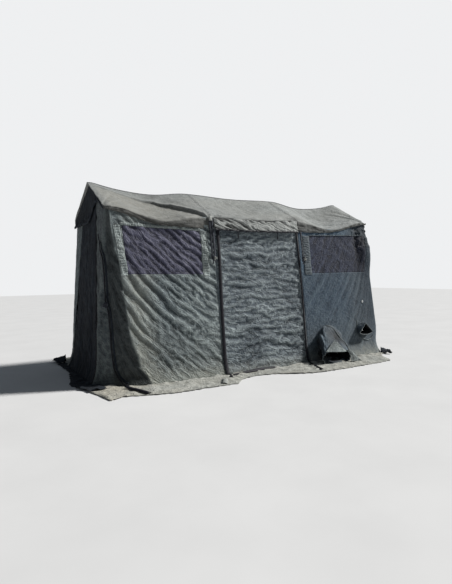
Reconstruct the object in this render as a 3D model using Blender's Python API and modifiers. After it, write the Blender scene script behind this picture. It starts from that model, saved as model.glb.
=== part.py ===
"""A three-bay military ridge tent: tube frame, sagging canvas roof, flared walls, zipped door, sod cloth.

Metres, +Z up. X runs along the ridge, the door side faces -Y, and the floor is z = 0.
The origin is on the floor in the middle of the tent.
"""

import math

import bmesh
import bpy
from mathutils import Vector

GAP = 0.0005
HEM_GAP = 0.0012
CLOTH = 0.008
COVER = 0.004

# Frame: four portals of round tube, a ridge pole and two eave rails.
TUBE_R = 0.019
RAIL_R = 0.0165
FRAME_X = (-2.028, -0.70, 0.70, 2.028)
LEG_Y = 0.66
FOOT_R = 0.06
FOOT_T = 0.008
KNEE_BEND = 0.07
KNEE_ARM = 0.13
RIDGE_ARM = 0.12
RIDGE_POLE_Z = 2.20
EAVE_RAIL_Z = 1.80
GUSSET = (0.012, 0.10, 0.21)
BRACKET = (0.05, 0.056, 0.018)

# Canvas heights at the four portals, and how far the canvas sags in each bay.
RIDGE_Z = (2.42, 2.385, 2.385, 2.42)
EAVE_Z = (2.045, 1.995, 2.015, 2.045)
RIDGE_SAG = (0.07, 0.02, 0.09)
EAVE_SAG = (0.12, 0.015, 0.12)
SLOPE_SAG = (0.05, 0.03, 0.05)
BAY_STEPS = 8
LIP = 0.04
TUCK = 0.03
ROOF_HALF_X = 2.10

# Walls: inner faces at the eave, outward lean at the floor, and the turn outward at the foot.
WALL_Y = LEG_Y + TUBE_R + GAP
WALL_TOP = 2.04
FLARE_Y = 0.26
FLARE_X = 0.12
GABLE_X = FRAME_X[3] + TUBE_R + GAP + FLARE_X * (RIDGE_Z[3] - WALL_TOP) / WALL_TOP
KICK = 0.06
KICK_Z = 0.26
CORNER_R_TOP = 0.02
CORNER_R_MORE = 0.28
CORNER_R_POWER = 0.8
ZIP_FROM_CORNER = (0.32, 0.36)
FOOT_Z = CLOTH + GAP
WALL_ROWS = (FOOT_Z, 0.05, 0.11, 0.18, KICK_Z, 0.6, 1.0, 1.4, 1.7)

# Openings and what closes them.
DOOR_X = 0.70
ZIP_W = 0.04
WINDOW_X = (0.89, 1.92)
WINDOW_Z = (1.26, 1.80)
COVER_LAP = 0.012
PELMET_DROP = 0.14
GABLE_HEM_Z = 1.91
HEM_RISE_FROM = 0.05
HEM_RISE_SPAN = 0.50
STRAP_X = 0.745
STRAP_W = 0.04
STRAP_LENGTH = 0.50
KNOT_R = 0.028

# Duct sleeves in the right-hand front panel: centre x and z on the wall, radius, reach and droop,
# how far the mouth has slid towards the door, and how flat it is.
SLEEVE_BIG = (1.10, 0.27, 0.23, 0.31, 0.17, 0.08, 0.36)
SLEEVE_SMALL = (1.80, 0.36, 0.11, 0.12, 0.05, 0.0, 0.72)
SLEEVE_COLLAR = 0.02

# Sod cloth on the ground: its outer edges in plan, and how far it is turned in under the walls.
SOD_LAP = 0.09
SOD_FRONT_EDGE = (
    (-2.34, -0.92), (-2.29, -1.10), (-2.25, -1.36), (-2.08, -1.28), (-1.85, -1.36), (-1.55, -1.44),
    (-1.16, -1.43), (-0.80, -1.45), (-0.66, -1.31), (-0.42, -1.22), (-0.14, -1.25), (0.10, -1.38),
    (0.40, -1.44), (0.75, -1.46), (1.15, -1.46), (1.60, -1.42), (1.95, -1.44), (2.22, -1.42),
    (2.29, -1.15), (2.34, -0.92),
)
SOD_BACK_EDGE = (
    (-2.33, 0.92), (-2.30, 1.36), (-1.90, 1.42), (-1.40, 1.44), (-0.80, 1.40), (-0.20, 1.43),
    (0.40, 1.40), (1.00, 1.44), (1.60, 1.46), (2.00, 1.42), (2.30, 1.36), (2.33, 0.92),
)
SOD_END_EDGE = ((2.34, -0.92), (2.42, -0.68), (2.45, -0.42), (2.38, -0.10), (2.31, 0.25), (2.33, 0.92))
FLAP_FRONT_RIGHT = ((2.22, -1.02), (2.26, -0.84), (2.44, -0.76), (2.30, -1.12))
FLAP_BACK_LEFT = ((-2.25, 0.86), (-2.19, 1.06), (-2.36, 1.22), (-2.34, 0.96))
FLAP_LIFT = 0.05


def clear_scene():
    for obj in list(bpy.data.objects):
        bpy.data.objects.remove(obj, do_unlink=True)


def new_collection(name):
    collection = bpy.data.collections.new(name)
    bpy.context.scene.collection.children.link(collection)
    return collection


def material(name, colour, roughness, metallic=0.0):
    made = bpy.data.materials.new(name)
    made.use_nodes = True
    shader = made.node_tree.nodes["Principled BSDF"]
    shader.inputs["Base Color"].default_value = (*colour, 1.0)
    shader.inputs["Roughness"].default_value = roughness
    shader.inputs["Metallic"].default_value = metallic
    return made


clear_scene()
TENT = new_collection("military_tent")
CUTTERS = new_collection("cutters")
ROOF_CANVAS = material("roof_canvas", (0.36, 0.37, 0.31), 0.85)
WALL_CANVAS = material("wall_canvas", (0.10, 0.13, 0.12), 0.85)
WINDOW_CLOTH = material("window_cloth", (0.05, 0.05, 0.09), 0.75)
SOD_CLOTH = material("sod_cloth", (0.34, 0.35, 0.29), 0.9)
ZIP_TAPE = material("zip_tape", (0.01, 0.01, 0.02), 0.6)
WEBBING = material("webbing", (0.03, 0.035, 0.04), 0.8)
FRAME_TUBE = material("frame_tube", (0.45, 0.46, 0.45), 0.45, 0.9)
FRAME_STEEL = material("frame_steel", (0.13, 0.15, 0.12), 0.55)


def add_object(name, mesh, look, collection=None):
    obj = bpy.data.objects.new(name, mesh)
    (collection or TENT).objects.link(obj)
    if look:
        mesh.materials.append(look)
    return obj


def mesh_from(bm, name):
    mesh = bpy.data.meshes.new(name)
    bm.to_mesh(mesh)
    bm.free()
    return mesh


def as_cutter(obj):
    obj.hide_render = True
    obj.display_type = "WIRE"
    return obj


def box(name, low, high, look=None, collection=None):
    bm = bmesh.new()
    bmesh.ops.create_cube(bm, size=1.0)
    low, high = Vector(low), Vector(high)
    for vert in bm.verts:
        vert.co = (low + high) / 2 + Vector(a * b for a, b in zip(vert.co, high - low))
    return add_object(name, mesh_from(bm, name), look, collection)


def rod(name, start, end, radius, sides, look=None, collection=None):
    """A straight round bar or disc between two points."""
    start, end = Vector(start), Vector(end)
    bm = bmesh.new()
    bmesh.ops.create_cone(
        bm, cap_ends=True, segments=sides, radius1=radius, radius2=radius, depth=(end - start).length
    )
    turn = (end - start).to_track_quat("Z", "Y").to_matrix().to_4x4()
    turn.translation = (start + end) / 2
    bm.transform(turn)
    return add_object(name, mesh_from(bm, name), look, collection)


def tube(name, points, radius, look, collection=None):
    """A bent bar as a curve with filled caps, turned into a closed mesh so that it can be joined."""
    curve = bpy.data.curves.new(name, "CURVE")
    curve.dimensions = "3D"
    curve.bevel_depth = radius
    curve.bevel_resolution = 4
    curve.use_fill_caps = True
    spline = curve.splines.new("POLY")
    spline.points.add(len(points) - 1)
    for spot, point in zip(spline.points, points):
        spot.co = (*point, 1.0)
    return mesh_object(name, bpy.data.objects.new(name + "_curve", curve), look, collection)


def mesh_object(name, guide, look, collection=None):
    """Turns a curve into a closed mesh with its caps welded on."""
    TENT.objects.link(guide)
    bpy.context.view_layer.update()
    mesh = bpy.data.meshes.new_from_object(guide.evaluated_get(bpy.context.evaluated_depsgraph_get()))
    mesh.transform(guide.matrix_world)
    bpy.data.objects.remove(guide, do_unlink=True)
    bm = bmesh.new()
    bm.from_mesh(mesh)
    bmesh.ops.remove_doubles(bm, verts=bm.verts, dist=1e-5)
    bmesh.ops.recalc_face_normals(bm, faces=bm.faces)
    bm.to_mesh(mesh)
    bm.free()
    mesh.name = name
    mesh.materials.clear()
    return add_object(name, mesh, look, collection)


def combine(obj, tool, operation):
    """Joins a helper to an object, or cuts it away."""
    as_cutter(tool)
    modifier = obj.modifiers.new(operation.lower(), "BOOLEAN")
    modifier.operation = operation
    modifier.solver = "EXACT"
    modifier.object = tool


def solidify(obj, thickness):
    modifier = obj.modifiers.new("cloth", "SOLIDIFY")
    modifier.thickness = thickness
    modifier.offset = 1.0
    modifier.use_even_offset = True


def sheet(name, columns, rows, point, look, thickness=CLOTH, outward=None):
    """A grid laid out by point(column, row), thickened on the side that faces outward."""
    bm = bmesh.new()
    bmesh.ops.create_grid(bm, x_segments=columns, y_segments=rows, size=0.5)
    for vert in bm.verts:
        column = round((vert.co.x + 0.5) * columns)
        row = round((vert.co.y + 0.5) * rows)
        vert.co = point(column, row)
    bm.normal_update()
    facing = sum((face.normal * face.calc_area() for face in bm.faces), Vector())
    if facing.dot(Vector(outward)) < 0:
        bmesh.ops.reverse_faces(bm, faces=bm.faces)
    obj = add_object(name, mesh_from(bm, name), look)
    solidify(obj, thickness)
    return obj


def mix(a, b, share):
    return a + (b - a) * share


def along_bays(x, heights, sags):
    """A height that runs from portal to portal and sags in each bay, level over the tubes.

    The sag is straight between the columns of the roof's grid, so that what hangs from the roof meets it.
    """
    x = min(max(x, FRAME_X[0]), FRAME_X[3])
    bay = 0 if x < FRAME_X[1] else 1 if x < FRAME_X[2] else 2
    share = (x - FRAME_X[bay]) / (FRAME_X[bay + 1] - FRAME_X[bay])
    step = min(int(share * BAY_STEPS), BAY_STEPS - 1)
    near, far = (math.sin(math.pi * end / BAY_STEPS) ** 2 for end in (step, step + 1))
    sag = sags[bay] * mix(near, far, share * BAY_STEPS - step)
    return mix(heights[bay], heights[bay + 1], share) - sag


def eave_z(x):
    return along_bays(x, EAVE_Z, EAVE_SAG)


def ridge_z(x):
    return along_bays(x, RIDGE_Z, RIDGE_SAG)


def lean(z):
    """How far down the wall a height is: 0 at the eave, 1 at the floor, and below 0 in the gable."""
    return 1.0 - z / WALL_TOP


def kick(z):
    """How far the foot of a wall turns outward, straight between the rows of the wall's grid."""
    for low, high in zip(WALL_ROWS, WALL_ROWS[1:]):
        if z < high:
            at_low, at_high = (KICK * max(0.0, 1.0 - end / KICK_Z) ** 2 for end in (low, high))
            return mix(at_low, at_high, (z - low) / (high - low))
    return 0.0


def half_x(z):
    return GABLE_X + FLARE_X * lean(z) + kick(z)


def half_y(z):
    return WALL_Y + FLARE_Y * lean(z) + kick(z)


def outer_y(z):
    """The front wall's outer face: the furthest out of its facets, each moved out by the cloth."""
    spans = list(zip(WALL_ROWS, WALL_ROWS[1:])) + [(KICK_Z, WALL_TOP)]
    faces = []
    for low, high in spans:
        slope = (half_y(high) - half_y(low)) / (high - low)
        faces.append(half_y(low) + slope * (z - low) + CLOTH * math.hypot(1, slope))
    return max(faces)


def corner_r(z):
    return CORNER_R_TOP + CORNER_R_MORE * max(0.0, lean(z)) ** CORNER_R_POWER


def zip_y(z):
    """Where the seam beside a corner lies along the gable, as a distance from the tent's middle."""
    return half_y(z) - mix(ZIP_FROM_CORNER[1], ZIP_FROM_CORNER[0], lean(z))


def corner_plan(z, start=0.0):
    """Plan points at a height, from the gable seam round the corner to the front wall's edge at the door."""
    x, y, r = half_x(z), half_y(z), corner_r(z)
    points = [(x, zip_y(z) + start), (x, mix(zip_y(z) + start, y - r, 0.6))]
    for step in range(7):
        angle = math.radians(15 * step)
        points.append((x - r + r * math.cos(angle), y - r + r * math.sin(angle)))
    for step in range(1, 7):
        points.append((mix(x - r, DOOR_X + GAP, step / 6), y))
    return points


# The solid frame.


def rafter_line(frame):
    """Height of a portal's tube centre over the knee and at the ridge, and the slope's angle."""
    rise = RIDGE_Z[frame] - EAVE_Z[frame]
    angle = math.atan2(rise, eave_y(FRAME_X[frame]))
    drop = TUBE_R / math.cos(angle) + GAP
    apex = RIDGE_Z[frame] - drop
    return apex - math.tan(angle) * LEG_Y, apex, angle


def build_leg(name, frame, side):
    x = FRAME_X[frame]
    knee_z, _, angle = rafter_line(frame)
    down = Vector((0, 0, -1))
    inward = Vector((0, -side * math.cos(angle), math.sin(angle)))
    knee = Vector((x, side * LEG_Y, knee_z))
    start, end = knee + down * KNEE_BEND, knee + inward * KNEE_BEND
    points = [Vector((x, side * LEG_Y, FOOT_T / 2))]
    for step in range(6):
        share = step / 5
        points.append(mix(mix(start, knee, share), mix(knee, end, share), share))
    points.append(knee + inward * KNEE_ARM)
    leg = tube(name, points, TUBE_R, FRAME_TUBE)
    foot_y = side * LEG_Y
    foot = rod(name + "_foot", (x, foot_y, 0), (x, foot_y, FOOT_T), FOOT_R, 20, None, CUTTERS)
    combine(leg, foot, "UNION")
    rail_y = LEG_Y - TUBE_R - RAIL_R - GAP
    top = EAVE_RAIL_Z - RAIL_R - GAP
    near, far = rail_y - BRACKET[1] / 3, rail_y + BRACKET[1] * 2 / 3
    low = (x - BRACKET[0] / 2, min(side * near, side * far), top - BRACKET[2])
    high = (x + BRACKET[0] / 2, max(side * near, side * far), top)
    combine(leg, box(name + "_bracket", low, high, None, CUTTERS), "UNION")


def build_rafter(name, frame, side):
    x = FRAME_X[frame]
    knee_z, _, angle = rafter_line(frame)
    inward = Vector((0, -side * math.cos(angle), math.sin(angle)))
    knee = Vector((x, side * LEG_Y, knee_z))
    length = LEG_Y / math.cos(angle)
    start = knee + inward * (KNEE_ARM + GAP)
    end = knee + inward * (length - RIDGE_ARM - GAP)
    tube(name, [start, end], TUBE_R, FRAME_TUBE)


def build_ridge_joint(name, frame):
    """The bent socket at the top of a portal, with a plate below it that the ridge pole passes through."""
    x = FRAME_X[frame]
    _, apex, angle = rafter_line(frame)
    reach, fall = RIDGE_ARM * math.cos(angle), RIDGE_ARM * math.sin(angle)
    points = [Vector((x, -reach, apex - fall)), Vector((x, 0, apex)), Vector((x, reach, apex - fall))]
    joint = tube(name, points, TUBE_R, FRAME_STEEL)
    low = (x - GUSSET[0] / 2, -GUSSET[1] / 2, apex - GUSSET[2])
    high = (x + GUSSET[0] / 2, GUSSET[1] / 2, apex - TUBE_R / 2)
    combine(joint, box(name + "_plate", low, high, None, CUTTERS), "UNION")
    hole_r = RAIL_R + 2 * GAP
    start, end = (x - 0.05, 0, RIDGE_POLE_Z), (x + 0.05, 0, RIDGE_POLE_Z)
    combine(joint, rod(name + "_hole", start, end, hole_r, 24, None, CUTTERS), "DIFFERENCE")


def build_frame():
    sides = (("front", -1), ("back", 1))
    for frame in range(4):
        for word, side in sides:
            build_leg(f"leg_{word}_{frame + 1}", frame, side)
            build_rafter(f"rafter_{word}_{frame + 1}", frame, side)
        build_ridge_joint(f"ridge_joint_{frame + 1}", frame)
    end = FRAME_X[3] + 0.012
    tube("ridge_pole", [(-end, 0, RIDGE_POLE_Z), (end, 0, RIDGE_POLE_Z)], RAIL_R, FRAME_TUBE)
    rail_y = LEG_Y - TUBE_R - RAIL_R - GAP
    for word, side in sides:
        points = [(-end, side * rail_y, EAVE_RAIL_Z), (end, side * rail_y, EAVE_RAIL_Z)]
        tube(f"eave_rail_{word}", points, RAIL_R, FRAME_TUBE)


# The roof and what hangs from its edges.


def roof_columns():
    """Where the roof's grid has its columns: both ends, every portal, and steps between portals."""
    shares = [step / BAY_STEPS for step in range(BAY_STEPS)]
    inside = [mix(FRAME_X[bay], FRAME_X[bay + 1], share) for bay in range(3) for share in shares]
    return [-ROOF_HALF_X, *inside, FRAME_X[3], ROOF_HALF_X]


def eave_y(x):
    """Inner face of the roof's edge, clear of the wall's outer face at that height."""
    return outer_y(eave_z(x)) + GAP


def roof_inner(x, y):
    share = abs(y) / eave_y(x)
    flat = mix(ridge_z(x), eave_z(x), share)
    return flat + along_bays(x, (0, 0, 0, 0), SLOPE_SAG) * 4 * share * (1 - share)


def build_roof(name, side):
    places, slope_rows = roof_columns(), 5

    def point(column, row):
        x = places[column]
        if row > slope_rows:
            drop = LIP
            y = outer_y(eave_z(x) - drop) + GAP
            return Vector((x, side * y, eave_z(x) - drop))
        share = row / slope_rows
        y = mix(GAP, eave_y(x), share)
        return Vector((x, side * y, roof_inner(x, y)))

    return sheet(name, len(places) - 1, slope_rows + 1, point, ROOF_CANVAS, outward=(0, side, 2))


def smooth(share):
    share = min(max(share, 0.0), 1.0)
    return share * share * (3 - 2 * share)


def build_gable_end(name, side):
    """The triangle under the roof's end with its hem hanging over the gable wall.

    On the left the hem is hitched up towards the door side, and on the right it hangs level.
    """
    columns, rows = 16, 3
    inner = GABLE_X + CLOTH + GAP
    half = eave_y(side * FRAME_X[3]) - CLOTH

    def point(column, row):
        y = mix(-half, half, column / columns)
        top = roof_inner(side * FRAME_X[3], y) - 2 * GAP
        hitched = smooth((-y - HEM_RISE_FROM) / HEM_RISE_SPAN) if side < 0 else 0.0
        hem = mix(GABLE_HEM_Z, top - LIP, hitched)
        z = mix(hem, top, row / rows)
        return Vector((side * (inner + FLARE_X * lean(z)), y, z))

    return sheet(name, columns, rows, point, ROOF_CANVAS, outward=(side, 0, 0))


def build_pelmet():
    """The strip that hangs from the roof's edge over the head of the door."""
    columns = 6

    def point(column, row):
        x = mix(-DOOR_X + ZIP_W / 2, DOOR_X - ZIP_W / 2, column / columns)
        drop = PELMET_DROP * (1 - row)
        z = eave_z(x) - LIP - HEM_GAP - drop
        return Vector((x, -(outer_y(z) + GAP), z))

    return sheet("door_pelmet", columns, 1, point, ROOF_CANVAS, outward=(0, -1, 0))


# The walls.


def wall_z(row, x, y):
    """Heights of the wall's grid: fixed rows, then the underside of the roof at that place in plan."""
    if row < len(WALL_ROWS):
        return WALL_ROWS[row]
    return roof_inner(x, y) - TUCK


def build_wall_panel(name, side_x, side_y):
    """A panel from the seam beside a corner, round the corner, to the door or the middle bay."""
    columns = len(corner_plan(0)) - 1

    def point(column, row):
        top_x, top_y = corner_plan(WALL_TOP)[column]
        z = wall_z(row, side_x * top_x, top_y)
        x, y = corner_plan(z, GAP / 2 + ZIP_W / 2)[column]
        return Vector((side_x * x, side_y * y, z))

    return sheet(name, columns, len(WALL_ROWS), point, WALL_CANVAS, outward=(side_x * 0.1, side_y, 0))


def build_flat_panel(name, side_y, low_x, high_x, look, thickness=CLOTH, columns=6):
    def point(column, row):
        x = mix(low_x, high_x, column / columns)
        z = wall_z(row, x, WALL_Y)
        return Vector((x, side_y * half_y(z), z))

    return sheet(name, columns, len(WALL_ROWS), point, look, thickness, (0, side_y, 0))


def build_gable_wall(name, side):
    """The end wall from the zip beside the front corner to the seam beside the back corner."""
    half = 4

    def point(column, row):
        ends = -zip_y(WALL_TOP) + ZIP_W / 2 + GAP, zip_y(WALL_TOP) - GAP / 2 + ZIP_W / 2
        share = column / half - 1
        z = wall_z(row, side * FRAME_X[3], abs(share) * ends[share > 0])
        ends = -zip_y(z) + ZIP_W / 2 + GAP, zip_y(z) - GAP / 2 + ZIP_W / 2
        return Vector((side * half_x(z), abs(share) * ends[share > 0], z))

    return sheet(name, 2 * half, len(WALL_ROWS), point, WALL_CANVAS, outward=(side, 0, 0))


def build_corner_zip(name, side):
    def point(column, row):
        z = wall_z(row, side * FRAME_X[3], zip_y(WALL_TOP))
        y = -zip_y(z) + mix(-ZIP_W / 2 + GAP / 2, ZIP_W / 2 - GAP / 2, column)
        return Vector((side * half_x(z), y, z))

    return sheet(name, 1, len(WALL_ROWS), point, ZIP_TAPE, outward=(side, 0, 0))


def cut_window(wall, side_x, side_y):
    low_x, high_x = sorted((side_x * WINDOW_X[0], side_x * WINDOW_X[1]))
    low_y, high_y = sorted((side_y * 0.6, side_y * 1.0))
    low, high = (low_x, low_y, WINDOW_Z[0]), (high_x, high_y, WINDOW_Z[1])
    combine(wall, box(wall.name + "_window", low, high, None, CUTTERS), "DIFFERENCE")


def build_window_cover(name, side_x, side_y):
    def point(column, row):
        x = side_x * mix(WINDOW_X[0] - COVER_LAP, WINDOW_X[1] + COVER_LAP, column)
        z = mix(WINDOW_Z[0] - COVER_LAP, WINDOW_Z[1] + COVER_LAP, row)
        return Vector((x, side_y * (outer_y(z) + GAP), z))

    return sheet(name, 1, 1, point, WINDOW_CLOTH, COVER, (0, side_y, 0))


def build_walls():
    for word_y, side_y in (("front", -1), ("back", 1)):
        for word_x, side_x in (("left", -1), ("right", 1)):
            wall = build_wall_panel(f"wall_{word_y}_{word_x}", side_x, side_y)
            cut_window(wall, side_x, side_y)
            build_window_cover(f"window_{word_y}_{word_x}", side_x, side_y)
            if (word_y, word_x) == ("front", "right"):
                build_sleeve("duct_sleeve", wall, SLEEVE_BIG)
                build_sleeve("cable_sleeve", wall, SLEEVE_SMALL)
    build_flat_panel("wall_back_middle", 1, -DOOR_X, DOOR_X, WALL_CANVAS)
    for word, side in (("left", -1), ("right", 1)):
        build_gable_wall(f"wall_gable_{word}", side)
        build_corner_zip(f"corner_zip_{word}", side)


def build_door():
    inner = DOOR_X - ZIP_W
    build_flat_panel("door_panel", -1, -inner + GAP / 2, inner - GAP / 2, WALL_CANVAS)
    build_flat_panel("door_zip_left", -1, -DOOR_X, -inner - GAP / 2, ZIP_TAPE, columns=1)
    build_flat_panel("door_zip_right", -1, inner + GAP / 2, DOOR_X, ZIP_TAPE, columns=1)


def build_strap(name, side):
    """A tie strap that hangs beside the door from the roof's edge and ends in a knot."""
    x = side * STRAP_X

    def point(column, row):
        edge_x = x + STRAP_W * (column - 0.5)
        z = eave_z(edge_x) - LIP - HEM_GAP - STRAP_LENGTH * (1 - row)
        return Vector((edge_x, -(outer_y(z) + GAP), z))

    strap = sheet(name, 1, 1, point, WEBBING, COVER, (0, -1, 0))
    z = eave_z(x) - LIP - STRAP_LENGTH
    y = -(outer_y(z) + GAP) - KNOT_R * 0.75
    bm = bmesh.new()
    bmesh.ops.create_uvsphere(bm, u_segments=12, v_segments=8, radius=KNOT_R)
    for vert in bm.verts:
        vert.co = Vector((x + vert.co.x, y + vert.co.y * 0.7, z + vert.co.z))
    knot = add_object(name + "_knot", mesh_from(bm, name + "_knot"), None, CUTTERS)
    combine(strap, knot, "UNION")


def build_sleeve(name, wall, sizes):
    """A short canvas tube round a hole in the wall, drooping towards the ground."""
    x, z, radius, reach, droop, slide, flatness = sizes
    sides, rings = 16, 4
    wall_y = -outer_y(z)

    def point(column, row):
        angle = 2 * math.pi * column / sides
        share = max(0, row - 1) / (rings - 1)
        height = z + radius * math.sin(angle)
        seat = -(outer_y(height - CLOTH * max(0.0, math.sin(angle))) + GAP)
        collar = seat - SLEEVE_COLLAR * min(row, 1)
        squash = mix(1.0, flatness, share)
        across = mix(1.0, 1.12, share)
        px = x - slide * share + radius * across * math.cos(angle)
        pz = z - droop * share**1.5 + radius * squash * math.sin(angle)
        return Vector((px, mix(collar, wall_y - reach, share), pz))

    bm = bmesh.new()
    bmesh.ops.create_cone(bm, cap_ends=False, segments=sides, radius1=1, radius2=1, depth=1)
    long_edges = [e for e in bm.edges if abs(e.verts[0].co.z - e.verts[1].co.z) > 0.5]
    bmesh.ops.subdivide_edges(bm, edges=long_edges, cuts=rings - 1)
    for vert in bm.verts:
        column = math.atan2(vert.co.y, vert.co.x) / (2 * math.pi) * sides
        vert.co = point(column, round((vert.co.z + 0.5) * rings))
    bmesh.ops.recalc_face_normals(bm, faces=bm.faces)
    sleeve = add_object(name, mesh_from(bm, name), WALL_CANVAS)
    modifier = sleeve.modifiers.new("cloth", "SOLIDIFY")
    modifier.thickness = CLOTH
    modifier.offset = -1.0
    start, end = (x, wall_y - 0.05, z), (x, wall_y + 0.10, z)
    hole = rod(name + "_hole", start, end, radius - CLOTH * 1.5, 24, None, CUTTERS)
    combine(wall, hole, "DIFFERENCE")


# The cloth on the ground.


def flat_cloth(name, outer, inner):
    """Cloth lying on the floor between a soft outer edge and straight inner points."""
    curve = bpy.data.curves.new(name, "CURVE")
    curve.dimensions = "2D"
    curve.fill_mode = "BOTH"
    curve.extrude = CLOTH / 2
    curve.resolution_u = 3
    spline = curve.splines.new("BEZIER")
    places = list(outer) + list(inner)
    spline.bezier_points.add(len(places) - 1)
    spline.use_cyclic_u = True
    for index, (spot, place) in enumerate(zip(spline.bezier_points, places)):
        spot.co = (*place, 0.0)
        straight = index in (0, len(outer) - 1) or index >= len(outer)
        spot.handle_left_type = spot.handle_right_type = "VECTOR" if straight else "AUTO"
    guide = bpy.data.objects.new(name + "_curve", curve)
    guide.location.z = CLOTH / 2
    return mesh_object(name, guide, SOD_CLOTH)


def build_sods():
    inner_x, inner_y = half_x(0) - SOD_LAP, SOD_FRONT_EDGE[-1][1]
    flat_cloth("sod_front", SOD_FRONT_EDGE, [(inner_x, inner_y), (-inner_x, inner_y)])
    flat_cloth("sod_back", SOD_BACK_EDGE, [(inner_x, -inner_y), (-inner_x, -inner_y)])
    for word, side in (("left", -1), ("right", 1)):
        outer = [(side * x, y * (1 - GAP)) for x, y in SOD_END_EDGE]
        inner = [(side * inner_x, outer[-1][1]), (side * inner_x, outer[0][1])]
        flat_cloth(f"sod_{word}", outer, inner)


def build_corner_flap(name, corners):
    """A pointed end of wall cloth pulled out over the sod cloth at a corner."""
    steps = 4

    def point(column, row):
        across, along = column / steps, row / steps
        near = mix(Vector(corners[0]), Vector(corners[1]), across)
        far = mix(Vector(corners[3]), Vector(corners[2]), across)
        place = mix(near, far, along)
        rise = FLAP_LIFT * math.sin(math.pi * across) * (1 - along * 0.6)
        return Vector((place.x, place.y, CLOTH + GAP + rise))

    return sheet(name, steps, steps, point, WALL_CANVAS, outward=(0, 0, 1))


def build_all():
    build_frame()
    build_roof("roof_front", -1)
    build_roof("roof_back", 1)
    build_gable_end("gable_end_left", -1)
    build_gable_end("gable_end_right", 1)
    build_pelmet()
    build_walls()
    build_door()
    build_strap("tie_strap_left", -1)
    build_strap("tie_strap_right", 1)
    build_sods()
    build_corner_flap("corner_flap_front_right", FLAP_FRONT_RIGHT)
    build_corner_flap("corner_flap_back_left", FLAP_BACK_LEFT)


build_all()
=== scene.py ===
"""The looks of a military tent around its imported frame: draped canvas, zips, straps and cloth on the ground.

Metres, in the frame of the model: +X runs along the ridge, the door side faces -Y, and the floor is z = 0.
On a wall's cloth, s runs from the door's edge round the corner and z runs up.
"""

import math
from dataclasses import dataclass

import bpy
import numpy as np
from mathutils import Matrix, Vector


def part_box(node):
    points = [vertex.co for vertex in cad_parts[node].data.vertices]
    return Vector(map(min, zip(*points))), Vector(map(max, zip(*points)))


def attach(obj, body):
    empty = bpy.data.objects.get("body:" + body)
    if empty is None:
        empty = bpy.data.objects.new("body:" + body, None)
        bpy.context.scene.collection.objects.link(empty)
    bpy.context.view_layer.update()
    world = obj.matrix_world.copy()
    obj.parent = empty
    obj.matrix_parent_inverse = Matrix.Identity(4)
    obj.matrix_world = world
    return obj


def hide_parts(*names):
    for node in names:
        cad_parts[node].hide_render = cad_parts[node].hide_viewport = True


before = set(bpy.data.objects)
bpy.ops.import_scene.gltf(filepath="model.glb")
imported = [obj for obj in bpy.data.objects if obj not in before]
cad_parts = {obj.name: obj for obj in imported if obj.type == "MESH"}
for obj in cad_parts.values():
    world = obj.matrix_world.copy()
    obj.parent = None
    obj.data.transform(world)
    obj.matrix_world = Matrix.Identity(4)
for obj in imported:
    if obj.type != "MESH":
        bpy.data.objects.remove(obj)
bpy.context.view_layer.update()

BODY = "root"
FRONT, BACK, LEFT, RIGHT = -1, 1, -1, 1
FACE_WORD, SIDE_WORD = {FRONT: "front", BACK: "back"}, {LEFT: "left", RIGHT: "right"}

# Camera at the photograph's place: it looks along the front from its left-hand end.
CAMERA_AT = (-3.527, -5.765, 1.230)
CAMERA_YAW = math.radians(30.80)
CAMERA_PITCH = math.radians(-1.99)
CAMERA_ROLL = math.radians(-0.69)
CAMERA_LENS, SENSOR = 27.76, 36.0

# The frame's own places, and the canvas heights at its four portals with the sag in each bay.
FRAME_X = [sum(corner.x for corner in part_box(f"ridge_joint_{i}")) / 2 for i in range(1, 5)]
LEG_X, LEG_Y, LEG_CLEAR = 2.028, 0.66, 0.033
RIDGE_Z = (2.42, 2.385, 2.385, 2.42)
EAVE_Z = (2.045, 1.995, 2.015, 2.045)
RIDGE_SAG = (0.07, 0.02, 0.09)
EAVE_SAG = (0.12, 0.015, 0.12)
SLOPE_SAG = (0.05, 0.03, 0.05)
ROOF_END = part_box("roof_front")[1].x

# Walls: they lean out from the eave to the floor and turn outward at the foot.
CLOTH = 0.008
WALL_TOP = 2.04
WALL_Y = 0.6795 + CLOTH * 0.6
GABLE_X = 2.0698 + CLOTH * 0.6
FLARE_Y, FLARE_X = 0.26, 0.12
KICK, KICK_Z = 0.06, 0.26
CORNER_R_TOP, CORNER_R_MORE, CORNER_R_POWER = 0.02, 0.28, 0.8
ZIP_FROM_CORNER = (0.32, 0.36)
FOOT_Z = 0.012
DOOR_X = 0.70
DOOR_EDGE = 0.698
DOOR_HELD = (-0.668, 0.652)      # the door's cloth is held fast outside these, by its zips
DOOR_TAPE_X = 0.655
STRAP_X = 0.735
WINDOW_X = (0.89, 1.92)
WINDOW_Z = (1.26, 1.80)
WALL_SPAN = 1.73
STRAIGHT = WINDOW_X[1] + 0.02 - DOOR_X
CANVAS_T = 0.002
CORNER_SLACK = 0.05
FRONT_PITCH, BACK_PITCH = 0.011, 0.018
UNDER_EAVE = 0.012
FACING_DOOR = (0.0, -1.0, 0.127)

# The crease down the front left-hand corner, where the front turns away from the light: its height and place.
CREASE_Z = (0.0, 0.10, 0.20, 0.33, 0.47, 0.57, 0.80, 1.09, 1.40, 1.55, 1.81, 2.04)
CREASE_X = (1.652, 1.683, 1.764, 1.784, 1.84, 1.863, 1.887, 1.922, 1.93, 1.99, 2.02, 2.03)


def smooth(t):
    t = np.clip(t, 0.0, 1.0)
    return t * t * (3 - 2 * t)


def mix(a, b, share):
    return a + (b - a) * share


def rise(x, start, width):
    """0 up to start, then smoothly to 1 over width."""
    return smooth((x - start) / width)


def fall(x, end, width):
    """Smoothly from 1 to 0 over width, and 0 from end on."""
    return smooth((end - x) / width)


def fade(x, start, width, before, after):
    """One value up to start, and smoothly to another over width."""
    return mix(before, after, rise(x, start, width))


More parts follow.
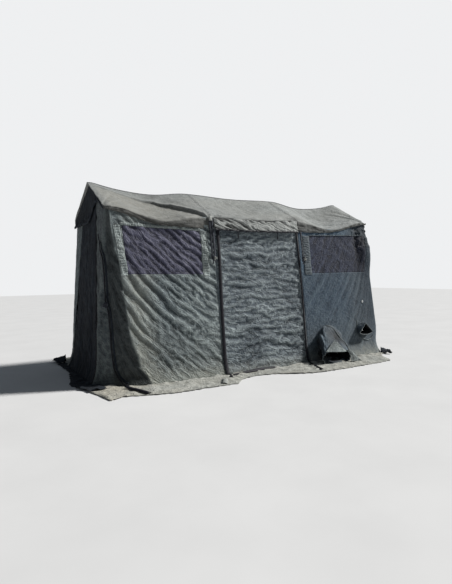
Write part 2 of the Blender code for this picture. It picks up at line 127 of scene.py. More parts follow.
def bump(x, middle, width):
    """1 in the middle, falling smoothly to 0 at width on each side."""
    return smooth(1 - np.abs(np.asarray(x) - middle) / width)


def unit(ways):
    return ways / np.maximum(np.linalg.norm(ways, axis=-1, keepdims=True), 1e-9)


def unit_grid(across, up):
    """Shares from 0 to 1 across and up, on a grid of that many points each way."""
    return np.meshgrid(np.linspace(0, 1, across), np.linspace(0, 1, up))


def foot_dust(z, amount, height):
    """Dust that is thickest at the floor and gone at a height."""
    return amount * (1 - smooth(z / height))


def spread(start, end, pitch):
    """Evenly spaced places from start to end, both included."""
    return np.linspace(start, end, max(2, int(round(abs(end - start) / pitch)) + 1))


# The shape that the frame gives the canvas.


def along_bays(x, heights, sags, peaked=False):
    """Height along the tent: straight lines between the portals, less the sag, which may peak at the ends."""
    x = np.clip(x, FRAME_X[0], FRAME_X[3])
    bay = np.clip(np.searchsorted(FRAME_X, x) - 1, 0, 2)
    near, far = np.take(FRAME_X, bay), np.take(FRAME_X, bay + 1)
    share = (x - near) / (far - near)
    shape = np.sin(np.pi * share) ** 2
    if peaked:
        to_end = np.where(bay == 0, 1 - share, np.where(bay == 2, share, 0.0))
        shape = mix(shape, 4 * share * (1 - share), smooth(to_end * 1.2))
    return np.interp(x, FRAME_X, heights) - np.take(sags, bay) * shape


def eave_z(x):
    return along_bays(x, EAVE_Z, EAVE_SAG)


def lean(z):
    return 1.0 - z / WALL_TOP


def kick(z):
    return KICK * np.clip(1.0 - z / KICK_Z, 0.0, 1.0) ** 2


def half_x(z):
    return GABLE_X + FLARE_X * lean(z) + kick(z)


def half_y(z):
    return WALL_Y + FLARE_Y * lean(z) + kick(z)


def corner_r(z):
    return CORNER_R_TOP + CORNER_R_MORE * np.maximum(0.0, lean(z)) ** CORNER_R_POWER


def zip_y(z):
    return half_y(z) - mix(ZIP_FROM_CORNER[1], ZIP_FROM_CORNER[0], lean(z))


def eave_y(x):
    return half_y(eave_z(x)) + CLOTH


def roof_z(x, y):
    share = np.abs(y) / eave_y(x)
    flat = mix(along_bays(x, RIDGE_Z, RIDGE_SAG, peaked=True), eave_z(x), share)
    return flat + along_bays(x, (0, 0, 0, 0), SLOPE_SAG) * 4 * share * (1 - share)


def creased_corner(z):
    """The slack corner in plan: where the front turns, where the cloth meets the gable, and its seam."""
    x, y = half_x(z), half_y(z)
    turn_x = np.interp(z, CREASE_Z, CREASE_X)
    to_x, to_y = LEG_X - turn_x, LEG_Y - y
    angle = np.arctan2(to_y, to_x) + np.arcsin(np.clip(LEG_CLEAR / np.hypot(to_x, to_y), -1, 1))
    angle = np.clip(angle, math.radians(-58), math.radians(-20))
    end_y = np.maximum(y + (x - turn_x) * np.tan(angle), 0.62 - 0.10 * np.clip(z, 0, 1))
    return turn_x, end_y, np.minimum(zip_y(z), end_y - 0.02)


def gable_seam(side, z):
    """How far from the middle the gable's seam by the front corner runs."""
    return np.where(z < 1.6, creased_corner(z)[2], zip_y(z)) if side == LEFT else zip_y(z)


def wall_quarter(along, z, creased=False, tight=1.0):
    """Points of the wall from the door's edge (along = 0) round a corner to the seam in the gable."""
    x, y, r = half_x(z), half_y(z), corner_r(z) * fade(z, 0, 0.45, min(1.0, tight + 0.45), tight)
    if creased:
        turn_x, end_y, seam_y = creased_corner(z)
        band = np.hypot(x - turn_x, y - end_y)
        flat, last = turn_x - DOOR_X, end_y - seam_y
    else:
        flat, band, last = x - r - DOOR_X, r * math.pi / 2, y - r - zip_y(z)
    total = flat + band + last
    past = STRAIGHT + (along - STRAIGHT) * (total - STRAIGHT) / (WALL_SPAN - STRAIGHT)
    run = np.where(along < STRAIGHT, along, past)
    share = np.clip((run - flat) / band, 0, 1)
    if creased:
        slack = CORNER_SLACK * np.clip(lean(z), 0, 1) ** 2 * np.sin(math.pi * share)
        bent_x = turn_x + share * (x - turn_x) + slack * (y - end_y) / band
        bent_y = y + share * (end_y - y) + slack * (x - turn_x) / band
    else:
        turn = share * math.pi / 2
        bent_x, bent_y = x - r + r * np.sin(turn), y - r + r * np.cos(turn)
    px = np.where(run < flat, DOOR_X + run, bent_x)
    return px, np.where(run < flat, y, bent_y) - np.maximum(0, run - flat - band)


# Random but repeatable waves.

NOISE_STEPS = 64
FAR_OFF = 1000.0


def noise(a, b, seed):
    """Smooth noise between about -1 and 1 at the points (a, b), with one random value at each whole step."""
    table = np.random.default_rng(seed).uniform(-1, 1, (NOISE_STEPS, NOISE_STEPS))
    a, b = np.asarray(a, float) + FAR_OFF, np.asarray(b, float) + FAR_OFF
    ia, ib = np.floor(a).astype(int), np.floor(b).astype(int)
    fa, fb = smooth(a - ia), smooth(b - ib)
    a0, a1, b0, b1 = ia % NOISE_STEPS, (ia + 1) % NOISE_STEPS, ib % NOISE_STEPS, (ib + 1) % NOISE_STEPS
    return mix(mix(table[a0, b0], table[a1, b0], fa), mix(table[a0, b1], table[a1, b1], fa), fb)


def crumple(a, b, size, seed):
    """Sharp random ridges, as in cloth that has been packed: -1 to 1, with cells of about the given size."""
    total, weight = 0.0, 0.0
    for k in range(3):
        turn = 0.7 + 1.3 * k
        u = (a * math.cos(turn) - b * math.sin(turn)) / size * 2**k
        v = (a * math.sin(turn) + b * math.cos(turn)) / size * 2**k
        total = total + 0.55**k * (1 - 2.6 * np.abs(noise(u, v, seed + k)))
        weight += 0.55**k
    return total / weight


# Cloth: a grid of points that is longer than the space it is held in, so that it folds.


def resized(values, rows, cols):
    """A grid of values read at another number of rows and columns."""
    i, j = np.linspace(0, values.shape[0] - 1, rows), np.linspace(0, values.shape[1] - 1, cols)
    i0, j0 = np.minimum(i.astype(int), values.shape[0] - 2), np.minimum(j.astype(int), values.shape[1] - 2)
    extra = (1,) * (values.ndim - 2)
    fi, fj = (i - i0).reshape(-1, 1, *extra), (j - j0).reshape(1, -1, *extra)
    low = mix(values[np.ix_(i0, j0)], values[np.ix_(i0, j0 + 1)], fj)
    high = mix(values[np.ix_(i0 + 1, j0)], values[np.ix_(i0 + 1, j0 + 1)], fj)
    return mix(low, high, fi)


def softened(values):
    """Each inner value averaged with its neighbours, in place."""
    values[1:-1] = (values[:-2] + 2 * values[1:-1] + values[2:]) / 4


QUICK_ROUNDS, FINE_ROUNDS, HOLD_EVERY = 20, 24, 5
LEAST_FREE = 0.02        # less freedom than this counts as none on a coarser grid


class Cloth:
    """A grid of cloth: points where it is held, and flat, its own coordinates along and up, in metres."""

    def __init__(self, points, flat, out=None):
        self.base = np.array(points, float)
        self.points = self.base.copy()
        self.flat = np.array(flat, float)
        self.creases = self.flat
        self.out = self.normals(self.base) if out is None else out

    def normals(self, points):
        return unit(np.cross(np.gradient(points, axis=1), np.gradient(points, axis=0)))

    def face(self, direction):
        """Turns the cloth's outward side towards a direction."""
        if (self.out @ np.array(direction, float)).mean() < 0:
            self.out = -self.out
        return self

    def own(self):
        return self.flat[..., 0], self.flat[..., 1]

    def push(self, amount):
        self.points = self.points + self.out * amount[..., None]

    def inner(self):
        """1 where the cloth is free to move, and 0 along its held edges."""
        free = np.zeros(self.base.shape[:2])
        free[1:-1, 1:-1] = 1.0
        return free

    def settle(self, squeeze, angle, free, rounds, bend, inward, outward, extra, coarser=1):
        """Lets the cloth settle, first on a coarser grid where asked.

        squeeze is how much longer the cloth is than its place, across folds that run at angle, and extra is
        how much longer it is in all directions.
        """
        rows, cols = free.shape
        given = (squeeze, angle, free, inward)
        fields = [np.broadcast_to(np.asarray(field, float), free.shape) for field in given]
        if coarser > 1:
            size = (-(-rows // coarser), -(-cols // coarser))
            small = Cloth(*(resized(grid, *size) for grid in (self.base, self.flat, self.out)))
            small.points = resized(self.points, *size)
            low_squeeze, low_angle, low_free, low_inward = (resized(field, *size) for field in fields)
            low_free = np.where(low_free < LEAST_FREE, 0.0, low_free)
            small.settle(low_squeeze, low_angle, low_free, rounds, bend, low_inward, outward, extra)
            moved = resized(small.points - small.base, rows, cols)
            self.points = self.base + moved * np.minimum(1, free * 4)[..., None]
            return
        squeeze, angle, free, inward = fields
        points = self.points
        pairs = self.pairs(squeeze, angle, free, bend, extra)
        for step in range(rounds):
            for a, b, rest, give_a, give_b in pairs:
                gap = points[b] - points[a]
                length = np.sqrt(np.einsum("...k,...k", gap, gap))
                pull = (1 - rest / np.maximum(length, 1e-9))[..., None] * gap
                points[a] += pull * give_a[..., None]
                points[b] -= pull * give_b[..., None]
            if step % HOLD_EVERY == HOLD_EVERY - 1 or step == rounds - 1:
                depth = np.einsum("...k,...k", points - self.base, self.out)
                points += self.out * ((np.clip(depth, -inward, outward) - depth) * (free > 0))[..., None]

    def pairs(self, squeeze, angle, free, bend, extra):
        """Neighbours in sets that share no point, with each pair's length at rest and how each gives."""
        rows, cols = free.shape
        across = np.stack([-np.sin(angle), np.cos(angle)], -1)
        found = []
        links = ((0, 1, 1.0), (1, 0, 1.0), (1, 1, 0.5), (1, -1, 0.5), (0, 2, bend), (2, 0, bend))
        for di, dj, stiff in links:
            step, count = (di, rows) if di else (dj, cols)
            for phase in range(2):
                starts = range(phase * step, phase * step + step)
                picked = np.concatenate([np.arange(start, count - step, 2 * step) for start in starts])
                i, j = np.arange(rows), picked
                if di:
                    i, j = picked, np.arange(max(0, -dj), cols - max(0, dj))
                a, b = np.ix_(i, j), np.ix_(i + di, j + dj)
                along = self.flat[b] - self.flat[a]
                along /= np.linalg.norm(along, axis=-1, keepdims=True)
                rest = np.linalg.norm(self.base[b] - self.base[a], axis=-1)
                rest *= 1 + extra + squeeze[a] * ((across[a] * along).sum(-1)) ** 2
                total = np.maximum(free[a] + free[b], 1e-9)
                found.append((a, b, rest, stiff * free[a] / total, stiff * free[b] / total))
        return found

    def crest(self, reach=0.03, height=0.008):
        """How far points stand out of the cloth: 0 in a valley, 0.5 on the flat and 1 on a crest."""
        step = np.linalg.norm(self.base[1:, 1:] - self.base[:-1, :-1], axis=-1).mean() / 1.414
        soft = self.points.copy()
        for _ in range(int(2 * (reach / step) ** 2) + 1):
            softened(soft)
            softened(soft.swapaxes(0, 1))
        return np.clip(0.5 + np.einsum("...k,...k", self.points - soft, self.out) / height, 0, 1)

    def at(self, along, up, lift):
        """Points on the settled cloth, and the way out there, at its own flat coordinates."""
        along, up = np.broadcast_arrays(np.asarray(along, float), np.asarray(up, float))
        field = self.normals(self.points)
        field = np.where((field * self.out).sum(-1, keepdims=True) < 0, -field, field)
        rows, cols = self.base.shape[:2]
        found, outs = [], []
        for a, u in zip(along.ravel(), up.ravel()):
            j = np.interp(a, self.flat[rows // 2, :, 0], np.arange(cols))
            i = np.interp(u, self.flat[:, int(round(j)), 1], np.arange(rows))
            i0, j0 = min(int(i), rows - 2), min(int(j), cols - 2)
            near = mix(self.points[i0, j0], self.points[i0, j0 + 1], j - j0)
            far = mix(self.points[i0 + 1, j0], self.points[i0 + 1, j0 + 1], j - j0)
            way = field[i0 + round(i - i0), j0 + round(j - j0)]
            found.append(mix(near, far, i - i0) + way * lift)
            outs.append(way)
        return np.array(found).reshape(*along.shape, 3), np.array(outs).reshape(*along.shape, 3)


def cloth_of(x, y, z, along, up, towards):
    """Cloth of a grid's places and its own coordinates, with its outward side towards a direction."""
    return Cloth(np.stack([x, y, z], -1), np.stack([along, up], -1)).face(towards)


# Meshes and pieces.


def placed(obj, replaces=()):
    bpy.context.scene.collection.objects.link(obj)
    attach(obj, BODY)
    if replaces:
        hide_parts(*replaces)
    return obj


def piece(name, mesh, look, replaces=(), thick=0.0):
    obj = placed(bpy.data.objects.new(name, mesh), replaces)
    mesh.materials.append(look)
    if thick:
        mesh.shade_smooth()
        modifier = obj.modifiers.new("cloth", "SOLIDIFY")
        modifier.thickness = thick
        modifier.offset = 0.0
    return obj


def grid_mesh(name, points, flat, keep=None, closed=False, creases=None, **marks):
    """A mesh of the grid's cells, with its flat coordinates as UVs and marks as numbers at its points."""
    rows, cols = points.shape[:2]
    index = np.arange(rows * cols).reshape(rows, cols)
    if closed:
        index = np.concatenate([index, index[:, :1]], axis=1)
    cells = np.stack([index[:-1, :-1], index[:-1, 1:], index[1:, 1:], index[1:, :-1]], -1)
    faces = cells[keep] if keep is not None else cells.reshape(-1, 4)
    used, inverse = np.unique(faces, return_inverse=True)
    faces = inverse.reshape(faces.shape)
    mesh = bpy.data.meshes.new(name)
    mesh.from_pydata(points.reshape(-1, 3)[used].tolist(), [], faces.tolist())
    for key, values in (("flat", flat), ("creases", flat if creases is None else creases)):
        layer = mesh.uv_layers.new(name=key)
        layer.data.foreach_set("uv", values.reshape(-1, 2)[used][faces.ravel()].astype(np.float32).ravel())
    for mark, values in marks.items():
        values = np.broadcast_to(np.asarray(values, np.float32), points.shape[:2])
        mesh.attributes.new(mark, "FLOAT", "POINT").data.foreach_set("value", values.ravel()[used].copy())
    return mesh


def declare_sheet(obj, width, height, area, held, rests_on):
    """Works out the size of cloth that a piece was cut to, but keeps it nowhere. Its height is at least what
    its area needs.
    """
    height = max(height, area / max(width, 1e-6) * 1.001)


def cloth_piece(name, cloth, slot, look, replaces, held, rests_on, keep=None, thick=CANVAS_T, **marks):
    """A piece of the tent's main cloth, cut to the size of its own flat coordinates."""
    marks = {"crest": cloth.crest(), "soil": 0.0, "tone": 1.0, **marks}
    mesh = grid_mesh(name, cloth.points, cloth.flat, keep, creases=cloth.creases, **marks)
    obj = piece(name, mesh, look, replaces, thick)
    across = np.linalg.norm(cloth.base[:-1, 1:] - cloth.base[:-1, :-1], axis=-1)
    up = np.linalg.norm(cloth.base[1:, :-1] - cloth.base[:-1, :-1], axis=-1)
    inside = cloth.flat[:-1, :-1].reshape(-1, 2) if keep is None else cloth.flat[:-1, :-1][keep]
    area = float((across * up).sum() if keep is None else (across * up)[keep].sum())
    declare_sheet(obj, *(inside.max(0) - inside.min(0)).tolist(), area, held, rests_on)


def loose_piece(name, cloth, look, replaces, held, rests_on=(), closed=False, thick=0.003, **marks):
    """A loose end of wall cloth, cut to the size that its grid of points measures."""
    points = cloth.points
    mesh = grid_mesh(name, points, cloth.flat, closed=closed, **marks)
    obj = piece(name, mesh, look, replaces, thick)
    if closed:
        points = np.concatenate([points, points[:, :1]], 1)
    across, up = points[:, 1:] - points[:, :-1], points[1:] - points[:-1]
    area = float(np.linalg.norm(np.cross(across[:-1], up[:, :-1]), axis=-1).sum())
    width = float(np.linalg.norm(across, axis=-1).sum(1).max())
    declare_sheet(obj, width, float(np.linalg.norm(up, axis=-1).sum(0).max()), area, held, rests_on)


def path_run(path):
    return np.concatenate([[0], np.cumsum(np.linalg.norm(np.diff(path, axis=0), axis=1))])


def strip_axes(path, outs):
    along = unit(np.gradient(np.array(path, float), axis=0))
    return along, unit(np.cross(outs, along))


def facing(path, outs):
    """A path as an array, with the way out at each of its points."""
    path = np.array(path, float)
    return path, np.broadcast_to(np.array(outs, float), path.shape)


def ribbon(name, path, outs, width, look, thick, crown, replaces=(), steps=2):
    """A strip along a path, a little proud of what it lies on. outs is the way out, or one for each point."""
    path, outs = facing(path, outs)
    across = strip_axes(path, outs)[1]
    shares = np.linspace(-0.5, 0.5, steps + 1)
    width = np.broadcast_to(width, (len(path),))
    points = [path + across * (s * width)[:, None] + outs * crown * (1 - 4 * s * s) for s in shares]
    flat = np.stack(np.broadcast_arrays(shares[None, :] * width[:, None], path_run(path)[:, None]), -1)
    mesh = grid_mesh(name, np.stack(points, 1), flat, crest=0.5, soil=0.0, tone=1.0)
    piece(name, mesh, look, replaces, thick)


def resample(path, outs, pitch):
    path, outs = facing(path, outs)
    run = path_run(path)
    spots = np.arange(pitch / 2, run[-1], pitch)
    made = np.stack([np.interp(spots, run, values) for values in (*path.T, *outs.T)], 1)
    return made[:, :3], unit(made[:, 3:])


def block_row(name, path, outs, look, pitch, size, lift, sway=0.0):
    """Small blocks set along a path, in one mesh: thread stitches, or the teeth of a zip."""
    spots, ways = resample(path, outs, pitch)
    along, across = strip_axes(spots, ways)
    axes = np.stack([along, across, np.cross(along, across)], 1)
    shift = np.where(np.arange(len(spots)) % 2 == 0, 1, -1)[:, None] * sway
    corners = np.array([(x, y, z) for x in (-0.5, 0.5) for y in (-0.5, 0.5) for z in (-0.5, 0.5)])
    sides = np.array([(0, 1, 3, 2), (4, 6, 7, 5), (0, 4, 5, 1), (2, 3, 7, 6), (0, 2, 6, 4), (1, 5, 7, 3)])
    block = corners[None] * np.array(size)[None, None]
    points = (spots + ways * lift + across * shift)[:, None] + block @ axes
    faces = sides[None] + 8 * np.arange(len(spots))[:, None, None]
    mesh = bpy.data.meshes.new(name)
    mesh.from_pydata(points.reshape(-1, 3).tolist(), [], faces.reshape(-1, 4).tolist())
    piece(name, mesh, look)


# How far apart stitches and teeth are, and their length, width and height.
STITCH_PITCH, STITCH = 0.014, (0.009, 0.0022, 0.0016)
TOOTH_PITCH, TOOTH = 0.008, (0.0035, 0.007, 0.003)


def stitches(name, path, outs):
    block_row(name, path, outs, WEB_LOOK, STITCH_PITCH, STITCH, 0.001)


def teeth(name, path, outs):
    block_row(name, path, outs, ZIP_LOOK, TOOTH_PITCH, TOOTH, 0.0055, 0.0016)


def tube_piece(name, path, radius, look, cyclic=False, sides=3):
    curve = bpy.data.curves.new(name, "CURVE")
    curve.dimensions = "3D"
    curve.bevel_depth = radius
    curve.bevel_resolution = sides
    curve.use_fill_caps = True
    curve.materials.append(look)
    spline = curve.splines.new("POLY")
    spline.points.add(len(path) - 1)
    spline.use_cyclic_u = cyclic
    for spot, point in zip(spline.points, path):
        spot.co = (*point, 1.0)
    placed(bpy.data.objects.new(name, curve))


def eyelet(name, centre, side, up, size, wire, look):
    t = np.linspace(0, 2 * np.pi, 17)[:-1, None]
    ring = np.array(centre) + size * (np.cos(t) * np.array(side) + np.sin(t) * np.array(up))
    tube_piece(name, ring, wire, look, cyclic=True, sides=2)


def settle_on(cloths, places, lift):
    """Rough places moved in or out on to the nearest cloth, and the way out there."""
    found, outs = [], []
    for place in np.array(places, float):
        best = None
        for cloth in cloths:
            gap = np.linalg.norm(cloth.points - place, axis=-1)
            spot = np.unravel_index(np.argmin(gap), gap.shape)
            if best is None or gap[spot] < best[0]:
                best = (gap[spot], cloth.points[spot], cloth.out[spot])
        _, point, out = best
        found.append(place + out * (np.dot(point - place, out) + lift))
        outs.append(out)
    return np.array(found), np.array(outs)


def soft_path(path, rounds):
    path = np.array(path, float)
    for _ in range(rounds):
        softened(path)
    return path


# Materials.


# The length over which a wave texture repeats at scale 1.
WAVE_LENGTH = 0.314


class Shader:
    """A material's nodes, linked by short calls."""

    def __init__(self, name):
        self.material = bpy.data.materials.new(name)
        self.material.use_nodes = True
        self.tree = self.material.node_tree
        self.main = self.tree.nodes["Principled BSDF"]

    def feed(self, made, inputs):
        for key, value in inputs.items():
            if isinstance(value, bpy.types.NodeSocket):
                self.tree.links.new(value, made.inputs[key])
            else:
                made.inputs[key].default_value = value

    def finish(self, **inputs):
        """Feeds the surface itself, with names such as Base_Color."""
        self.feed(self.main, {key.replace("_", " "): value for key, value in inputs.items()})
        return self.material

    def node(self, kind, inputs, out=0, **settings):
        made = self.tree.nodes.new("ShaderNode" + kind)
        for key, value in settings.items():
            setattr(made, key, value)
        self.feed(made, inputs)
        return made.outputs[out]

    def place(self, stretch=(1, 1, 1), layer=None):
        """Places in metres, in the tent or in one of a cloth's own flat layers."""
        where = self.node("UVMap", {}, uv_map=layer) if layer else self.node("TexCoord", {}, "Object")
        return self.node("Mapping", {"Vector": where, "Scale": stretch})

    def mark(self, name):
        return self.node("Attribute", {}, "Fac", attribute_name=name)

    def noise(self, scale, detail, rough=0.55, stretch=(1, 1, 1), layer=None):
        inputs = {"Vector": self.place(stretch, layer), "Scale": scale, "Detail": detail, "Roughness": rough}
        return self.node("TexNoise", inputs, "Fac")

    def ramp(self, value, low, high, low_to=0.0, high_to=1.0):
        limits = {"From Min": low, "From Max": high, "To Min": low_to, "To Max": high_to}
        return self.node("MapRange", {"Value": value, **limits})

    def blend(self, share, first, second, mode="MIX"):
        first, second = ((*value, 1.0) if isinstance(value, tuple) else value for value in (first, second))
        return self.node("Mix", {"Factor": share, 6: first, 7: second}, 2, data_type="RGBA", blend_type=mode)

    def maths(self, operation, first, second):
        return self.node("Math", {0: first, 1: second}, operation=operation)

    def weighed(self, *parts):
        """The sum of values, each times its weight."""
        total = None
        for value, weight in parts:
            part = self.maths("MULTIPLY", value, weight)
            total = part if total is None else self.maths("ADD", total, part)
        return total

    def ridges(self, scale, detail, stretch=(1, 1, 1), layer="flat"):
        """Sharp creases: 1 along their crests."""
        centred = self.maths("SUBTRACT", self.noise(scale, detail, 0.5, stretch, layer), 0.5)
        return self.ramp(self.maths("ABSOLUTE", centred, 0.0), 0.0, 0.22, 1.0, 0.0)

    def raised(self, height, strength, distance, **below):
        return self.node("Bump", {"Height": height, "Strength": strength, "Distance": distance, **below})

    def weave(self, pitch):
        """The two sets of threads of a plain weave, from the cloth's flat coordinates."""
        threads = []
        for direction in "XY":
            inputs = {"Vector": self.place(layer="flat"), "Scale": WAVE_LENGTH / pitch, "Distortion": 0.4,
                      "Detail": 1.0}
            threads.append(self.node("TexWave", inputs, "Fac", bands_direction=direction, wave_profile="SIN"))
        return self.maths("ADD", *threads)


CANVAS_THREADS, TAPE_THREADS, WEB_THREADS = 0.0016, 0.0012, 0.003


def canvas(name, deep, plain, worn_and_highlit, dust_and_light, rough=0.8, crinkle=0.5, patch=1.0, stretch=(1, 0.25, 1), relief=0.8,
           lined=0.5, sheen=0.10):
    """Coated canvas, patchy and crinkled, with painted shade in its valleys, painted highlight and wear on its
    crests, and a dusty colour where marked.
    """
    s = Shader(name)
    patches = s.ramp(s.noise(1.9, 5.0), 0.35, 0.68)
    blotches = s.ramp(s.noise(10.0, 4.0, 0.6), 0.3, 0.7)
    # The crest mark paints shade in the cloth's valleys and a highlight on its crests.
    shade = s.weighed((patches, 0.42 * patch), (blotches, 0.30 * patch), (s.mark("crest"), relief),
                      (0.5, 0.8 - relief))
    colour = s.blend(s.ramp(shade, 0.30, 0.72), deep, plain)
    colour = s.blend(s.ramp(shade, 0.78, 1.30), colour, worn_and_highlit)
    long_creases = s.ridges(27.0, 2.0, stretch, "creases")
    short_creases = s.ridges(30.0, 3.0)
    wide_creases = s.ridges(11.0, 2.5, stretch, "creases")
    cross_creases = s.ridges(9.0, 2.5)
    # Crease lines get a painted highlight, and the hollows between them painted shade.
    lines = s.maths("MAXIMUM", s.ramp(wide_creases, 0.84, 1.0), s.ramp(cross_creases, 0.90, 1.0, 0.0, 0.8))
    hollows = s.ramp(wide_creases, 0.0, 0.45, 0.75, 0.0)
    colour = s.blend(s.maths("MULTIPLY", lines, lined), colour, worn_and_highlit)
    colour = s.blend(s.maths("MULTIPLY", hollows, lined), colour, deep)
    colour = s.blend(1.0, colour, s.ramp(s.noise(75.0, 4.0, 0.75), 0.3, 0.7, 0.66, 1.34), "MULTIPLY")
    # The dusty colour's mark also carries painted light near the walls' corners.
    dust_and_light_share = s.maths("MULTIPLY", s.mark("soil"), s.ramp(s.noise(14.0, 6.0, 0.7), 0.25, 0.7, 0.35, 1.0))
    colour = s.blend(s.node("Clamp", {"Value": dust_and_light_share}), colour, dust_and_light)
    # The tone mark multiplies in painted shade and light on many pieces, and plain changes of tone on others.
    colour = s.blend(1.0, colour, s.mark("tone"), "MULTIPLY")
    roughness = s.ramp(s.noise(20.0, 3.0), 0.3, 0.7, rough - 0.08, min(1.0, rough + 0.08))
    grain = s.noise(130.0, 3.0, 0.7)
    height = s.weighed((lines, 0.9), (long_creases, 0.5), (short_creases, 0.4), (grain, 0.25))
    below = s.raised(height, crinkle, 0.006)
    normal = s.raised(s.weave(CANVAS_THREADS), 0.18, 0.0004, Normal=below)
    return s.finish(Base_Color=colour, Roughness=roughness, Normal=normal, Specular_IOR_Level=0.25,
                    Sheen_Weight=sheen, Sheen_Roughness=0.5)


def woven(name, dark, light, rough, threads=TAPE_THREADS):
    """Woven tape or webbing."""
    s = Shader(name)
    colour = s.blend(s.ramp(s.noise(25.0, 4.0), 0.3, 0.7), dark, light)
    normal = s.raised(s.weave(threads), 0.4, 0.0005)
    return s.finish(Base_Color=colour, Roughness=rough, Specular_IOR_Level=0.3, Normal=normal)


def metal(name, dark, light, metallic, rough):
    s = Shader(name)
    colour = s.blend(s.ramp(s.noise(30.0, 5.0, 0.65), 0.35, 0.7), dark, light)
    roughness = s.ramp(s.noise(60.0, 3.0), 0.3, 0.7, rough - 0.1, rough + 0.12)
    normal = s.raised(s.noise(220.0, 2.0, 0.5, (0.2, 1, 1)), 0.08, 0.0006)
    return s.finish(Base_Color=colour, Metallic=metallic, Roughness=roughness, Normal=normal)


# Each canvas has its colour in the valleys with painted shade, on the flat, on its crests with wear and
# painted highlight, and where it is dusty.
DUST_AND_LIGHT = (0.31, 0.315, 0.27)
ROOF_LOOK = canvas(
    "roof_canvas", (0.17, 0.18, 0.175), (0.27, 0.285, 0.28), (0.36, 0.375, 0.365), (0.33, 0.31, 0.26),
    rough=0.82, crinkle=0.6, patch=0.8, stretch=(0.6, 0.2, 1), lined=0.25)
WALL_LOOK = canvas(
    "wall_canvas", (0.034, 0.046, 0.052), (0.110, 0.136, 0.146), (0.25, 0.29, 0.29), DUST_AND_LIGHT,
    rough=0.72, crinkle=1.1, relief=0.72)
# The right bay's canvas, smoother, and darker and bluer with painted shade; its sleeves use it too.
SHADED_RIGHT_LOOK = canvas(
    "smooth_shaded_wall_canvas", (0.015, 0.028, 0.046), (0.036, 0.062, 0.093), (0.080, 0.118, 0.150), DUST_AND_LIGHT,
    rough=0.75, crinkle=0.6, stretch=(1, 0.7, 1), relief=0.5)
DOOR_LOOK = canvas(
    "door_canvas", (0.034, 0.046, 0.058), (0.105, 0.130, 0.150), (0.25, 0.29, 0.30), DUST_AND_LIGHT,
    rough=0.7, crinkle=1.3, stretch=(0.8, 0.3, 1), relief=0.62)
# A near-black copy of the canvas with painted shade, used chiefly for the gables and for cloth in shade beside
# them.
SHADE_LOOK = canvas(
    "gable_canvas", (0.003, 0.0045, 0.008), (0.008, 0.012, 0.019), (0.024, 0.032, 0.044),
    (0.03, 0.036, 0.042), rough=0.85, sheen=0.02)
WINDOW_LOOK = canvas(
    "window_cloth", (0.020, 0.021, 0.038), (0.060, 0.062, 0.100), (0.15, 0.15, 0.21), (0.1, 0.1, 0.1),
    rough=0.7, patch=0.6, crinkle=0.9)
# The right bay's window cloth, darker with painted shade.
SHADED_WINDOW_LOOK = canvas(
    "shaded_window_cloth", (0.007, 0.010, 0.023), (0.018, 0.025, 0.052), (0.055, 0.066, 0.110), (0.1, 0.1, 0.1),
    rough=0.75, patch=0.6, crinkle=0.8)
SOD_LOOK = canvas(
    "sod_cloth", (0.20, 0.205, 0.185), (0.33, 0.34, 0.315), (0.46, 0.465, 0.43), (0.40, 0.37, 0.30),
    rough=0.9, crinkle=0.9, stretch=(0.8, 0.6, 1))
ZIP_LOOK = woven("zip_tape", (0.005, 0.005, 0.009), (0.013, 0.013, 0.020), 0.6)
WEB_LOOK = woven("webbing", (0.016, 0.018, 0.026), (0.045, 0.050, 0.064), 0.75, WEB_THREADS)
PALE_WEB_LOOK = woven("pale_webbing", (0.20, 0.21, 0.20), (0.38, 0.39, 0.37), 0.8, WEB_THREADS)
LIP_LOOK = woven("bound_edge", (0.11, 0.13, 0.135), (0.24, 0.27, 0.275), 0.75)
TUBE_LOOK = metal("frame_tube", (0.30, 0.31, 0.30), (0.50, 0.51, 0.50), 0.9, 0.42)
STEEL_LOOK = metal("frame_steel", (0.05, 0.06, 0.045), (0.11, 0.13, 0.10), 0.2, 0.55)
# A near-white eyelet: a painted glint on the metal.
GLINT_EYELET_LOOK = metal("eyelet_painted_glint", (0.62, 0.64, 0.64), (0.80, 0.82, 0.82), 0.1, 0.45)


# Walls.


@dataclass
class Wall:
    """How one wall's cloth folds, the grid that it is made on, and its finish."""

    side_x: int
    side_y: int
    seed: int
    amount: float                   # how much longer the cloth is than its place, across its folds
    steep: float                    # how steeply the folds fall from the top corner
    flat_angle: float               # the slope that they come to by the door
    reach: float                    # how far past the corner they start
    fold: float                     # their width
    rounds: int                     # how long the cloth is let settle
    crumpled: float
    calm: float                     # how much of the folds is left near the floor
    coarser: int = 1                # how much coarser the grid is that it settles on first
    pitch: float = BACK_PITCH
    creased: bool = False           # whether its corner is the slack one
    tight: float = 1.0              # how round its corner is
    skew: tuple = (0.0, 0.0, 0.0)   # shifts of the window's far edge at foot and head, and its rise there
    # The pale band near the corner is dusty colour with painted light, where the cloth turns towards the
    # light.
    corner_dust_and_light: float = 0.1           # how pale a band of it is near the corner
    trims: tuple = (0.06, 0.06, 0.03)   # widths beside the window at the corner, at the door and over it
    trim_tone: float = 1.25
    look: object = WALL_LOOK
    crest: tuple = ()               # reach and height of its crests, where they aren't the usual ones
    cover_look: object = WINDOW_LOOK
    cover_relief: float = 0.008


